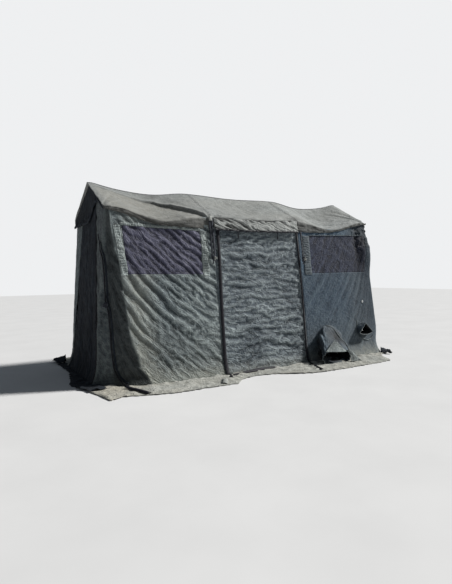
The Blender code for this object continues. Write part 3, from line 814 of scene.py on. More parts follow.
WALLS = (
    Wall(LEFT, FRONT, seed=11, amount=0.075, steep=0.35, flat_angle=0.42, reach=0.12, fold=0.080, rounds=110,
         crumpled=1.0, calm=0.45, coarser=2, pitch=FRONT_PITCH, creased=True, skew=(-0.06, -0.025, 0.03),
         corner_dust_and_light=0.55, trims=(0.085, 0.10, 0.035), crest=(0.028, 0.0075)),
    Wall(RIGHT, FRONT, seed=23, amount=0.012, steep=0.55, flat_angle=0.60, reach=0.10, fold=0.13, rounds=70,
         crumpled=0.35, calm=0.7, coarser=2, pitch=FRONT_PITCH, tight=0.3, skew=(0.06, 0.10, 0.045),
         trims=(0.0, 0.13, 0.012), trim_tone=0.8, look=SHADED_RIGHT_LOOK, cover_look=SHADED_WINDOW_LOOK,
         cover_relief=0.0035),
    Wall(LEFT, BACK, seed=37, amount=0.030, steep=0.40, flat_angle=0.50, reach=0.12, fold=0.090, rounds=80,
         crumpled=0.7, calm=0.6),
    Wall(RIGHT, BACK, seed=51, amount=0.030, steep=0.45, flat_angle=0.55, reach=0.12, fold=0.085, rounds=80,
         crumpled=0.7, calm=0.6),
)


def joined(*runs):
    return np.concatenate([runs[0]] + [run[1:] for run in runs[1:]])


def wall_cloth(wall):
    """A wall's grid from the door's edge round a corner, and the rows and columns of its window's edges."""
    near, far = WINDOW_X[0] - DOOR_X, WINDOW_X[1] - DOOR_X
    runs = [spread(*ends, wall.pitch) for ends in ((0, near), (near, far), (far, WALL_SPAN))]
    along = joined(*runs)
    below = spread(FOOT_Z, WINDOW_Z[0], wall.pitch)
    low = joined(below, spread(*WINDOW_Z, wall.pitch))
    above = np.linspace(0, 1, int(0.24 / wall.pitch) + 2)[1:]
    top_x, top_y = wall_quarter(along, np.full_like(along, WALL_TOP), wall.creased, wall.tight)
    top = roof_z(wall.side_x * top_x, top_y) - UNDER_EAVE
    z = np.concatenate([np.repeat(low[:, None], len(along), 1), mix(low[-1], top[None], above[:, None])])
    s = np.repeat(along[None], len(z), 0)
    at_far = smooth(s / far) * fall(s, WALL_SPAN, WALL_SPAN - far)
    head = rise(z, 1.0, 0.8) * fall(z, 2.02, 0.22)
    s = s + at_far * fade(z, 1.26, 0.54, *wall.skew[:2]) * rise(z, 0.5, 0.7) * fall(z, 2.0, 0.2)
    z = z + wall.skew[2] * head * smooth(s / far)
    x, y = wall_quarter(s, z, wall.creased, wall.tight)
    cloth = cloth_of(wall.side_x * x, wall.side_y * y, z, s, z, (wall.side_x * 0.1, wall.side_y, 0))
    return cloth, (len(below) - 1, len(low) - 1), (len(runs[0]) - 1, len(runs[0]) + len(runs[1]) - 2)


def bulge_corner(cloth):
    """The full right-hand front corner, rumpled by the window's head."""
    s, z = cloth.own()
    cloth.push(0.055 * bump(s, STRAIGHT + 0.12, 0.24) * bump(z, 1.58, 0.42))
    rumpled = rise(s, 1.04, 0.10) * rise(z, 1.58, 0.10) * fall(z, 2.0, 0.06)
    cloth.push(0.014 * rumpled * fall(s, WALL_SPAN, 0.2) * crumple(s, z, 0.10, 131))
    cloth.base = cloth.points.copy()


def swags(cloth, wall):
    """Folds that fall from the top corner and flatten by the door: their angle, and a measure across."""
    s, z = cloth.own()
    from_corner = np.clip(WALL_SPAN - 0.38 - s, -0.3, 2.0) + wall.reach
    slope = np.tan(wall.flat_angle) + wall.steep / np.maximum(from_corner, 0.05)
    slope = slope * mix(0.6, 1.0, fall(z, 1.98, 0.5))
    across = z - np.tan(wall.flat_angle) * (s - 1.3) + wall.steep * np.log(np.maximum(from_corner, 0.05))
    return np.arctan(slope), across


def drape_wall(cloth, wall):
    s, z = cloth.own()
    seed, crumpled = wall.seed, wall.crumpled
    angle, across = swags(cloth, wall)
    across = across + 0.03 * noise(s / 0.22, z / 0.22, seed + 6)
    run = s + z
    fold = across / wall.fold
    waves = noise(fold, run / 1.2, seed) + 0.6 * noise(fold * 2.3, run / 0.6, seed + 1)
    hold = smooth(z / 0.20) * fall(z, 2.02, 0.10)
    patchy = (0.75 + 0.5 * noise(s / 0.33, z / 0.33, seed + 8)) * fade(z, 1.15, 0.25, 1.0, 0.75)
    patchy = patchy * mix(1.0, 0.62, rise(z, 1.24, 0.08) * fall(z, 1.84, 0.08))
    near_corner = mix(0.3, 1.0, fall(s, WALL_SPAN - 0.36, 0.18))
    strength = hold * patchy * fade(z, 0.35, 0.75, wall.calm, 1.0) * near_corner
    packed = 0.007 * hold * crumpled * crumple(s, z, 0.17, seed + 2)
    cloth.push(0.012 * mix(0.3, 1.0, crumpled) * strength * waves + packed)
    angle = angle + fade(z, 0.4, 0.7, 0.65, 0.32) * noise(s / 0.20, z / 0.20, seed + 9)
    inward = fade(z, 1.5, 0.3, 0.022, 0.007) * mix(0.35, 1.0, near_corner)
    squeeze, extra, free = wall.amount * strength, 0.004 * crumpled, cloth.inner()
    cloth.settle(squeeze, angle, free, wall.rounds, 0.25, inward, 0.05, extra, wall.coarser)
    if wall.coarser > 1:
        small = 0.0036 * crumpled * crumple(s, z, 0.075, seed + 3)
        cloth.push(free * hold * (small + 0.0014 * strength * noise(across / 0.026, run / 0.30, seed + 4)))
        cloth.settle(squeeze * 1.05, angle, free, FINE_ROUNDS, 0.12, inward, 0.05, extra)
    cloth.creases = np.stack([across + 0.012 * noise(s / 0.06, z / 0.06, seed + 5), run], -1)


def ruffle_strip(name, cloth, start, end, width, look, seed, tone, pitch=0.036):
    """A gathered strip sewn beside a window, its little folds lying across it."""
    length = math.dist(start, end)
    t, share = spread(0, length, 0.006)[:, None], np.linspace(-0.5, 0.5, 11)[None]
    along_s, along_z = (end[0] - start[0]) / length, (end[1] - start[1]) / length
    s = start[0] + t * along_s + share * width * -along_z
    z = start[1] + t * along_z + share * width * along_s
    points, outs = cloth.at(s, z, 0.002)
    sway = 0.4 * noise(share * 3, t / 0.08, seed)
    ticks = np.abs(np.sin(np.pi * (t / pitch + sway + 0.9 * noise(t / 0.09, 0, seed + 2)))) ** 0.6
    points = points + outs * (0.009 * ticks * (0.3 + 0.7 * np.cos(np.pi * share) ** 0.6))[..., None]
    flat = np.stack(np.broadcast_arrays(share * width, t), -1)
    # Its crest mark, from the little folds, paints shade between them and a highlight on them.
    mesh = grid_mesh(name, points, flat, crest=np.clip(0.15 + 0.75 * ticks, 0, 1), soil=0.25, tone=tone)
    piece(name, mesh, look, thick=0.0015)


def window_trims(name, cloth, rows, cols, wall):
    """Gathered strips outside the window's edges: at the corner, at the door side and over the head."""
    corner_w, door_w, top_w = wall.trims
    seed, finish = 40 + 5 * wall.side_x + 11 * wall.side_y, wall.trim_tone
    (foot_near, foot_far), (head_near, head_far) = cloth.flat[np.ix_(rows, cols)]
    if corner_w:
        out = np.array((corner_w / 2, 0.0))
        ruffle_strip(f"{name}_trim_corner_side", cloth, foot_far + out - (0, 0.02), head_far + out, corner_w,
                     wall.look, seed + 9, finish)
    out = np.array((door_w / 2, 0.0))
    ruffle_strip(f"{name}_trim_door_side", cloth, foot_near - out - (0, 0.02), head_near - out, door_w,
                 wall.look, seed, finish)
    lift = np.array((0.0, top_w / 2))
    ruffle_strip(f"{name}_trim_top", cloth, head_near + lift, head_far + lift, top_w, wall.look, seed + 17,
                 finish, 0.03)


def right_painted_shade(x, z):
    """The right-hand front wall's tone: painted shade by its corner and eave, and paler beside and over its
    window.
    """
    tone = mix(1.0, 0.62, rise(x, 1.62, 0.40) * rise(z, 0.2, 0.5)) * fade(z, 1.0, 0.6, 1.0, 0.88)
    tone = tone * mix(1.0, 0.60, rise(x, 1.75, 0.10) * rise(z, 1.60, 0.12))
    tone = tone * (1 + 0.8 * (1 - rise(x, 0.86, 0.12)) * rise(z, 1.15, 0.3))
    return tone * (1 + 0.6 * (1 - rise(x, 1.50, 0.3)) * rise(x, 0.92, 0.08) * rise(z, 1.80, 0.04))


def build_wall(wall):
    cloth, rows, cols = wall_cloth(wall)
    right_front = (wall.side_x, wall.side_y) == (RIGHT, FRONT)
    if right_front:
        bulge_corner(cloth)
    drape_wall(cloth, wall)
    face = FACE_WORD[wall.side_y]
    word = f"{face}_{SIDE_WORD[wall.side_x]}"
    window = np.zeros(np.array(cloth.base.shape[:2]) - 1, bool)
    window[rows[0]:rows[1], cols[0]:cols[1]] = True
    kept = ~window
    (s, z), x, height = cloth.own(), np.abs(cloth.base[..., 0]), cloth.base[..., 2]
    soil = foot_dust(z, 0.55, 0.24) + foot_dust(z, 0.22, 0.9)
    # A pale band near the corner, dusty colour with painted light.
    corner_dust_and_light = wall.corner_dust_and_light * bump(s, WALL_SPAN - 0.66, 0.34) * fade(z, 1.0, 0.7, 1.0, 0.45)
    soil = np.clip(soil + corner_dust_and_light, 0, 1)
    tone = np.ones(z.shape)
    if right_front:
        tone = right_painted_shade(x, height)
        for sleeve in (SLEEVE_BIG, SLEEVE_SMALL):
            away = np.hypot(s[:-1, :-1] + DOOR_X - sleeve.x, z[:-1, :-1] - sleeve.z)
            kept &= away > sleeve.radius - 0.018
    if wall.creased:
        # Past the crease the cloth gets painted shade and is kept less dusty, and it is paler again near the
        # corner.
        turn = np.interp(height, CREASE_Z, CREASE_X)
        past = (x - turn) / (half_x(height) - turn)
        tone = tone * (fade(past, 0, 0.06, 1.0, 0.34) * fade(past, 0.62, 0.08, 1.0, 1.7))
        soil = soil * fade(past, 0, 0.06, 1.0, 0.25)
    canvas_name = f"canvas_wall_{word}"
    cloth_piece(canvas_name, cloth, "wall_canvas", wall.look, [f"wall_{word}"], "hung", [f"roof_{face}"],
                kept, soil=soil, tone=tone, crest=cloth.crest(*wall.crest))
    cloth_piece(f"window_cover_{word}", cloth, "window_cloth", wall.cover_look, [f"window_{word}"], "hung",
                [canvas_name], window, tone=tone, crest=cloth.crest(0.03, wall.cover_relief))
    window_trims(f"window_{word}", cloth, rows, cols, wall)
    return cloth


def middle_cloth(side_y, low_x, high_x, pitch):
    """The grid of the door, or of the plain panel behind it."""
    x = spread(low_x, high_x, pitch)
    t = np.linspace(0, 1, int(2.0 / pitch))
    top = eave_z(x) - UNDER_EAVE
    z = mix(FOOT_Z, top[None], t[:, None])
    xs = np.repeat(x[None], len(t), 0)
    return cloth_of(xs, side_y * half_y(z), z, xs, z, (0, side_y, 0))


def drape_middle(cloth, seed, amount, rounds, calm_top, coarser, held=(-1.0, 1.0)):
    """Folds that run level, below calm_top and between the two held places."""
    x, z = cloth.own()
    line = z + 0.06 * noise(x / 0.45, z / 0.35, seed + 3) + 0.018 * noise(x / 0.10, z / 0.16, seed + 5)
    waves = noise(line / 0.050, x / 0.38, seed) + 0.5 * noise(line / 0.024, x / 0.20, seed + 1)
    calm = fall(z, calm_top, 0.10)
    hold = calm * smooth(z / 0.05)
    patchy = 0.8 + 0.5 * noise(x / 0.3, z / 0.25, seed + 11)
    cloth.push(hold * (0.008 * waves * patchy + 0.007 * crumple(x, z, 0.16, seed + 2)))
    squeeze = amount * mix(0.15, 1.0, calm) * patchy * fade(z, 0, 0.3, 0.7, 1.0)
    angle = 0.5 * noise(x / 0.20, z / 0.17, seed + 7) + 0.25 * noise(x / 0.08, z / 0.08, seed + 8)
    free = cloth.inner()
    free[(x < held[0]) | (x > held[1])] = 0.0
    cloth.settle(squeeze, angle, free, rounds, 0.15, 0.02, 0.035, 0.006, coarser)
    if coarser > 1:
        cloth.push(free * hold * 0.0026 * crumple(x, z, 0.075, seed + 4))
        cloth.settle(squeeze * 1.08, angle, free, FINE_ROUNDS, 0.10, 0.02, 0.035, 0.003)
    cloth.creases = np.stack([line, x], -1)


def build_middle():
    door = middle_cloth(FRONT, -DOOR_EDGE, DOOR_EDGE, FRONT_PITCH)
    drape_middle(door, 5, 0.050, 110, 1.80, 2, DOOR_HELD)
    x, z = door.own()
    past_zip = rise(x, DOOR_TAPE_X, 0.012)
    cloth_piece("door_sheet", door, "wall_canvas", DOOR_LOOK, ["door_panel"], "hung", ["door_pelmet"],
                soil=foot_dust(z, 0.45, 0.20), crest=mix(door.crest(0.024, 0.0065), 0.4, past_zip),
                tone=mix(1.0, 0.5, past_zip))
    back = middle_cloth(BACK, -DOOR_X, DOOR_X, BACK_PITCH)
    drape_middle(back, 71, 0.018, 60, 1.95, 1)
    cloth_piece("canvas_wall_back_middle", back, "wall_canvas", WALL_LOOK, ["wall_back_middle"], "hung",
                ["roof_back"], soil=foot_dust(back.own()[1], 0.5, 0.3))


# Gables, with the number of points across and up.

GABLE_GRID, GABLE_END_GRID = (80, 120), (104, 38)


def build_gable_wall(side, seed):
    """The end wall between the corner seams, up to the roof's underside."""
    t, v = (np.linspace(0, 1, count) for count in GABLE_GRID)
    top_y = zip_y(WALL_TOP)
    top = roof_z(side * ROOF_END, mix(-top_y, top_y, t)) - 0.03
    z = mix(FOOT_Z, top[None], v[:, None])
    y = mix(-gable_seam(side, z) + 0.012, zip_y(z) - 0.012, t[None])
    cloth = cloth_of(side * half_x(z), y, z, y, z, (side, 0, 0))
    folds = noise(y / 0.15 + 0.5 * z, z / 0.6, seed) + 0.5 * noise(y / 0.06, z / 0.3, seed + 1)
    hold = fall(z, 1.95, 0.15) * smooth(z / 0.1)
    cloth.push(hold * (0.009 * folds + 0.006 * crumple(y, z, 0.16, seed + 3)))
    angle = math.pi / 2 + 0.3 * noise(y / 0.2, z / 0.3, seed + 4)
    cloth.settle(0.015, angle, cloth.inner(), 70, 0.3, 0.012, 0.05, 0.004)
    word = SIDE_WORD[side]
    # Made in the near-black canvas: painted shade.
    cloth_piece(f"canvas_gable_{word}", cloth, "wall_canvas", SHADE_LOOK, [f"wall_gable_{word}"], "hung",
                [f"gable_end_{word}"], soil=foot_dust(z, 0.3, 0.25))
    return cloth


def build_gable_end(side, seed):
    """The gable's triangle and its wrinkled hem, hitched up towards the door side on the left."""
    t, v = (np.linspace(0, 1, count) for count in GABLE_END_GRID)
    half = half_y(EAVE_Z[0]) + 0.002
    y = mix(-half, half, t)
    top = roof_z(side * ROOF_END, y) - 0.003
    hitched = rise(-y, 0.02, 0.50) if side == LEFT else 0 * y
    hem = mix(1.91 + 0.012 * noise(y / 0.11, 0, seed), top - 0.045, hitched)
    z = mix(hem[None], top[None], v[:, None])
    ys = np.repeat(y[None], len(v), 0)
    cloth = cloth_of(side * (GABLE_X + CLOTH * 1.1 + FLARE_X * lean(z)), ys, z, ys, z, (side, 0, 0))
    above_hem = z - hem[None]
    hang = fall(above_hem, 0.17, 0.12) * mix(1.0, 0.4, hitched[None])
    waves = noise(ys / 0.045 + 2 * noise(z / 0.08, ys / 0.2, seed), z / 0.035, seed + 1)
    roll = 0.012 * bump(above_hem, 0.02, 0.035)
    cloth.push(hang * (0.010 + 0.014 * waves) + roll + 0.003 * crumple(ys, z, 0.12, seed + 3))
    word = SIDE_WORD[side]
    # In the near-black canvas, darker still: painted shade.
    cloth_piece(f"canvas_gable_end_{word}", cloth, "roof_canvas", SHADE_LOOK, [f"gable_end_{word}"], "hung",
                ["roof_front", "roof_back"], thick=0.003, tone=0.85)


# The zip down the slack of the front left-hand corner, from its top to the floor, and its end there.
CORNER_ZIP = ((-2.088, -0.47, 1.75), (-2.100, -0.594, 1.61), (-2.099, -0.647, 1.46), (-2.085, -0.657, 1.28),
              (-2.075, -0.661, 0.98), (-2.046, -0.688, 0.84), (-2.031, -0.704, 0.59), (-2.015, -0.716, 0.34),
              (-2.003, -0.739, 0.18), (-1.985, -0.80, 0.08), (-1.96, -1.00, 0.020))
CORNER_ZIP_END = ((-1.97, -0.98, 0.035), (-1.95, -1.06, 0.030), (-1.90, -1.18, 0.028), (-1.86, -1.28, 0.024),
                  (-1.83, -1.36, 0.020))


def build_corner_seams(front_left, gables):
    """The zip down the gable beside each front corner, and the one on the slack corner."""
    z = spread(0.012, 1.98, 0.02)
    for side, word in SIDE_WORD.items():
        path = np.stack([side * (half_x(z) + 0.006), -gable_seam(side, z) - 0.004, z], -1)
        outs = (side, 0.0, 0.06)
        ribbon(f"corner_zip_tape_{word}", path, outs, 0.030, ZIP_LOOK, 0.003, 0.004,
               [f"corner_zip_{word}"])
        teeth(f"corner_zip_teeth_{word}", path, outs)
    path = resample(CORNER_ZIP, (-0.7, -0.7, 0.1), 0.02)[0]
    path, outs = settle_on([front_left, gables[LEFT]], path, 0.010)
    path[:, 2] = np.maximum(path[:, 2], 0.022)
    path, outs = soft_path(path, 4), soft_path(outs, 6)
    ribbon("slack_corner_zip", path, outs, 0.014, ZIP_LOOK, 0.003, 0.005)
    teeth("slack_corner_zip_teeth", path, outs)
    # A strip of painted shade beside the zip, in the near-black canvas.
    shade_strip = path + strip_axes(path, outs)[1] * 0.026 - outs * 0.005
    ribbon("slack_corner_zip_shade_strip", shade_strip[8:], outs[8:], 0.022, SHADE_LOOK, 0.002, 0.004)
    knot = path[np.argmin(np.abs(path[:, 2] - 0.92))] + (-0.02, -0.03, 0)
    tube_piece("corner_knot", knot_path(knot, 0.030, 3), 0.009, WEB_LOOK, cyclic=True)
    path, outs = resample(CORNER_ZIP_END, (0, 0, 1.0), 0.02)
    ribbon("corner_zip_on_ground", path, outs, 0.055, ZIP_LOOK, 0.004, 0.012, steps=6)


# Roof. Its grids are laid out for a slope and a lip of these lengths.

SLOPE, LIP = 0.80, 0.16
ROOF_PITCH = {FRONT: 0.0125, BACK: 0.020}
# How low the roof's lip hangs over the front, from left to right.
LIP_X = (-2.10, -1.87, -1.62, -1.50, -1.29, -1.02, -0.81, -0.70, 0.70, 0.86, 1.10, 1.33, 1.50, 1.765, 2.10)
LIP_Z = (2.010, 1.965, 1.885, 1.855, 1.842, 1.836, 1.833, 1.840, 1.86, 1.847, 1.852, 1.866, 1.90, 1.962, 2.03)
# The left bay's crease, from the apex down to the eave by the second portal, as x and share of slope.
BAY_CREASE_X = (-2.10, -2.0, -1.76, -1.5, -1.3, -1.08, -0.90, -0.757)
BAY_CREASE = (0.02, 0.10, 0.14, 0.17, 0.22, 0.41, 0.74, 1.0)


def roof_cloth(side):
    """The grid of one slope with its rounded eave and lip: v is 1 at the eave and 2 at the lip's edge."""
    pitch = ROOF_PITCH[side]
    slope_rows, lip_rows = int(SLOPE / pitch), int(LIP / pitch)
    v = np.concatenate([np.linspace(0, 1, slope_rows + 1), 1 + np.arange(1, lip_rows + 1) / lip_rows])
    xs, v = np.meshgrid(spread(-ROOF_END, ROOF_END, pitch), v)
    share, past = np.minimum(v, 1.0), np.maximum(v - 1, 0)
    edge = eave_z(xs)
    depth = np.full_like(xs, 0.05)
    if side == FRONT:
        over_door = np.abs(xs) < DOOR_X - 0.02
        depth = np.where(over_door, depth, np.maximum(edge - np.interp(xs, LIP_X, LIP_Z), 0.03))
    drop = depth * past
    y = eave_y(xs) * share + 0.0005
    z = roof_z(xs, np.minimum(y, eave_y(xs))) + CLOTH * 0.6
    z = np.where(v > 1, edge + CLOTH * 0.6 - drop, z) - 0.010 * bump(v, 1.0, 0.10)
    y = np.where(v > 1, half_y(edge - drop) + CLOTH * (1 + 0.9 * np.sin(np.pi * np.sqrt(past))), y)
    return cloth_of(xs, side * y, z, xs, SLOPE * share + depth * past, (0, side, 2)), xs, v, share, past, drop


def build_roof(side, seed):
    """One slope, with fans of creases from its ends and pleats in its lip, seamed over the portals."""
    cloth, xs, v, share, past, drop = roof_cloth(side)
    tight = smooth(v / 0.06)
    waves = np.zeros_like(v)
    for end, fan_seed, much in ((LEFT, seed, 1.1), (RIGHT, seed + 1, 1.9)):
        away = np.abs(xs - end * ROOF_END)
        theta = np.arctan2(1.02 - share * 0.9, away + 0.06)
        fan = much * noise(theta / 0.055, away / 0.8, fan_seed)
        waves += fan * np.exp(-away / 0.55) * smooth(share * 1.6)
    small = crumple(xs, v * 0.8, 0.20, seed + 5)
    near_eave = rise(share, 0.72, 0.28) * noise(xs / 0.06 + v * 3, v / 0.10, seed + 7)
    at_portal = sum(np.exp(-np.abs(xs - place) / 0.28) for place in FRAME_X[1:3])
    pleats = noise((drop + 0.10 * np.abs(xs)) / 0.022, xs / 0.25, seed + 11) * (0.4 + at_portal)
    pleats = past**0.5 * pleats
    cloth.push(tight * (0.007 * waves + 0.005 * small + 0.006 * near_eave) + 0.010 * pleats)
    for middle in FRAME_X[1:3]:
        cloth.push(0.006 * np.exp(-((xs - middle) / 0.025) ** 2) * tight)
    # The lip, turned down over the eave, is painted in shade.
    tone = fade(past, 0, 0.3, 1.0, 0.6)
    soil = 0.12 + 0.15 * noise(xs / 0.6, v / 0.4, seed + 9)
    if side == FRONT:
        below = (share - np.interp(xs, BAY_CREASE_X, BAY_CREASE)) * 0.78
        inside = (xs < BAY_CREASE_X[-1]) * rise(xs, -2.10, 0.12) * fall(xs, -0.74, 0.05)
        ridge = 0.026 * np.exp(-(np.minimum(below, 0) / 0.10) ** 2)
        hollow = 0.040 * smooth(below / 0.022) * fall(below, 0.42, 0.42)
        cloth.push(inside * (ridge - hollow) * tight * fade(xs, -1.75, 0.75, 0.15, 1.0))
        cloth.push(-0.014 * rise(xs, 0.70, 0.4) * bump(share, 0.25, 0.30) * fall(xs, 2.0, 0.3))
        # Painted shade just under the left bay's crease, along bent creases near the eave and the portals, and
        # on the lip.
        under_crease = inside * rise(xs, -1.7, 0.5) * np.exp(-((below - 0.010) / 0.008) ** 2)
        bent = noise(share / 0.035 + 2 * noise(xs / 0.2, 0, 5), xs / 0.22, seed + 21)
        lines = rise(share, 0.70, 0.3) * np.maximum(0, bent) * (0.35 + at_portal)
        tone = fade(xs, -1.9, 3.4, 0.86, 1.12) * mix(1.0, 0.62, under_crease) * fade(past, 0, 0.2, 1.0, 0.34)
        tone = tone * mix(1.0, 0.45, np.clip(lines, 0, 1))
        soil = soil + 0.35 * inside * smooth(below / 0.05)
    word = FACE_WORD[side]
    cloth.creases = np.stack([share * 0.8, xs], -1)
    cloth_piece(f"canvas_roof_{word}", cloth, "roof_canvas", ROOF_LOOK, [f"roof_{word}"], "stretched",
                ["ridge_pole"], soil=np.clip(soil, 0, 1), tone=tone)
    along = np.linspace(0.01, 0.78, 60)
    for number, middle in enumerate(FRAME_X[1:3]):
        for letter, offset in (("a", -0.012), ("b", 0.012)):
            path, outs = cloth.at(middle + offset, along, 0.001)
            stitches(f"roof_stitch_{word}_{number + 2}_{letter}", path, outs)
    return cloth


def build_ridge_seam(roof):
    """A narrow flat seam along the ridge, over both slopes."""
    path = soft_path(roof.points[0][::2] + (0, 0, 0.004), 1)
    ribbon("ridge_seam", path, (0, 0, 1.0), 0.016, SHADE_LOOK, 0.002, 0.002)


VALANCE_X, VALANCE_ROWS, TOGGLE_X = (-0.695, 0.675), 26, (-0.34, 0.305)


def build_pelmet():
    """The valance over the door: sewn a little up the roof, pleated at a slant, standing out at its hem."""
    xs, v = np.meshgrid(spread(*VALANCE_X, 0.010), np.linspace(0, 1, VALANCE_ROWS))
    hem = 1.830 + 0.006 * noise(xs / 0.15, 0, 3) + 0.010 * rise(xs, -0.2, 0.8)
    z = mix(eave_z(xs) + 0.012, hem, v)
    over = fall(v, 0.16, 0.16)
    y = -(half_y(z) + 0.016 + 0.030 * rise(v, 0.05, 0.9) - 0.050 * over)
    z = z + 0.012 * over
    cloth = cloth_of(xs, y, z, xs, z, (0, -1, 0))
    slant = (z - hem) + 0.42 * xs + 0.02 * noise(xs / 0.12, z / 0.05, 12)
    waves = noise(slant / 0.024, xs / 0.22, 8) + 0.6 * noise(slant / 0.012, xs / 0.10, 9)
    left = mix(0.5, 1.0, fall(xs, 0.35, 0.6))
    cloth.push((0.002 + 0.015 * left * waves + 0.006 * crumple(xs, z, 0.10, 14)) * smooth(v / 0.12))
    # Painted shade in the pleats' hollows and painted highlight on their ridges, darker towards the hem and at
    # the left.
    pleat_shade = mix(1.12, 0.30, smooth(-waves * left / 0.7 - 0.1)) * fade(v, 0.8, 0.2, 1.0, 0.6)
    cloth.creases = np.stack([slant, xs], -1)
    cloth_piece("door_head_valance", cloth, "roof_canvas", ROOF_LOOK, ["door_pelmet"], "hung",
                ["canvas_roof_front"], soil=0.1, tone=pleat_shade * fade(xs, -0.3, 0.9, 0.85, 1.0))
    outs = np.array((0.0, -1.0, 0.1))
    ribbon("door_head_valance_hem", cloth.points[-1] + outs * 0.003, outs, 0.022, ZIP_LOOK,
           0.004, 0.003)
    seam = cloth.points[3] + np.array((0, -0.004, 0.003))
    stitches("door_head_valance_seam", seam[::2], (0.0, -0.6, 0.8))
    for number, x in enumerate(TOGGLE_X):
        name = f"valance_toggle_{number + 1}"
        cord = wall_line(x, np.linspace(1.84, 1.765, 5), 0.034)
        tube_piece(name + "_cord", cord, 0.0045, ZIP_LOOK)
        tube_piece(name, [cord[-1] + (0, 0, 0.004), cord[-1] - (0, 0, 0.032)], 0.009, ZIP_LOOK)


# Zips, straps and knots.

# Where the door's zips run: x by height, the tail on the ground, and the width by height and along the tail.
# The widths take in the line of shade beside each zip, painted in the zip's black tape.
LEFT_ZIP = dict(
    heights=(0.06, 0.24, 0.93, 1.4, 1.97), places=(-0.670, -0.670, -0.657, -0.641, -0.636),
    tail=((-0.668, -1.045, 0.018), (-0.685, -1.09, 0.016), (-0.71, -1.14, 0.016), (-0.73, -1.18, 0.016)),
    widths=(0.052, 0.048, 0.044), tail_width=0.048)
RIGHT_ZIP = dict(
    heights=(0.06, 0.14, 0.32, 0.81, 1.02, 1.59, 1.91),
    places=(0.646, 0.654, 0.660, 0.670, 0.675, 0.668, 0.657),
    tail=((0.635, -1.01, 0.026), (0.61, -1.08, 0.026), (0.575, -1.17, 0.027), (0.535, -1.27, 0.027),
          (0.50, -1.36, 0.027), (0.475, -1.46, 0.024)),
    widths=(0.034, 0.031, 0.028), tail_width=0.030)
DOOR_FOOT = ((-0.66, -1.09, 0.020), (-0.50, -1.075, 0.024), (-0.35, -1.055, 0.028), (-0.18, -1.03, 0.028),
             (0.0, -1.01, 0.024), (0.10, -1.00, 0.018))
LYING_STRAP = ((-0.84, -1.22, 0.020), (-0.88, -1.28, 0.024), (-0.92, -1.34, 0.020), (-0.96, -1.40, 0.018))


def wall_line(x, z, lift):
    return np.stack([np.broadcast_to(x, z.shape), -(half_y(z) + lift), z], -1)


def build_zip(word, heights, places, tail, widths, tail_width):
    z = spread(1.90, FOOT_Z + 0.01, 0.02)
    path = np.concatenate([wall_line(np.interp(z, heights, places), z, 0.012), tail])
    width = np.concatenate([np.interp(z, (0.0, 0.3, 0.6), widths), [tail_width] * len(tail)])
    outs = unit(np.cross(unit(np.gradient(path, axis=0)), np.array((1.0, 0.0, 0.0))))
    outs = np.where((outs @ np.array((0, -1.0, 0.6)))[:, None] < 0, -outs, outs)
    name = f"door_zip_{word}_band"
    ribbon(name, path, outs, width, ZIP_LOOK, 0.003, 0.005, [f"door_zip_{word}"], steps=6)
    teeth(name + "_teeth", path + outs * 0.002, outs)


def build_door_zips():
    build_zip("left", **LEFT_ZIP)
    build_zip("right", **RIGHT_ZIP)
    for number, x in enumerate((0.598, 0.612)):
        stitches(f"door_stitch_{number + 1}", wall_line(x, spread(0.08, 1.78, 0.03), 0.024), FACING_DOOR)
    path, outs = resample(DOOR_FOOT, (0.0, -0.7, 0.7), 0.02)
    width = np.interp(np.linspace(0, 1, len(path)), (0, 0.5, 0.9, 1), (0.024, 0.042, 0.034, 0.008))
    ribbon("door_foot_zip", path, outs, width, ZIP_LOOK, 0.003, 0.006)


def knot_path(centre, size, seed):
    """A loose overhand knot as a closed loop about a centre."""
    t = np.linspace(0, 2 * np.pi, 49)[:-1]
    turn = np.random.default_rng(seed).uniform(0, 2 * np.pi)
    x, y, z = np.sin(t) + 2 * np.sin(2 * t), -np.sin(3 * t), np.cos(t) - 2 * np.cos(2 * t)
    loop = np.stack([x * math.cos(turn) - z * math.sin(turn), y, x * math.sin(turn) + z * math.cos(turn)], -1)
    return np.array(centre) + loop / 3 * size


def build_strap(name, x, top, bottom, offsets, seed, replaces):
    z = spread(top, bottom, 0.02)
    wave = 0.006 * noise(z / 0.07, 0, seed)
    for number, offset in enumerate(offsets):
        path = wall_line(x + offset, z, 0.026 + 0.006 * number) + np.stack([wave, 0 * z, 0 * z], -1)
        ribbon(f"{name}_web_{number + 1}", path, FACING_DOOR, 0.028, WEB_LOOK, 0.002, 0.003,
               () if number else [replaces])
    centre = np.array((x, -(half_y(bottom) + 0.045), bottom))
    loops = (("knot", (0, 0, 0), 0.032, seed, 0.0095, WEB_LOOK),
             ("knot_loop", (0.01, -0.012, 0.0), 0.022, seed + 3, 0.005, PALE_WEB_LOOK))
    for part, shift, size, turn, radius, look in loops:
        loop = knot_path(centre + shift, size, turn)
        tube_piece(f"{name}_{part}", loop, radius, look, cyclic=True)
    for number, (dx, dz) in enumerate(((-0.02, -0.075), (0.025, -0.055))):
        path = [centre, centre + (dx * 0.6, -0.004, dz * 0.6), centre + (dx, 0.004, dz)]
        tube_piece(f"{name}_end_{number + 1}", path, 0.007, WEB_LOOK)


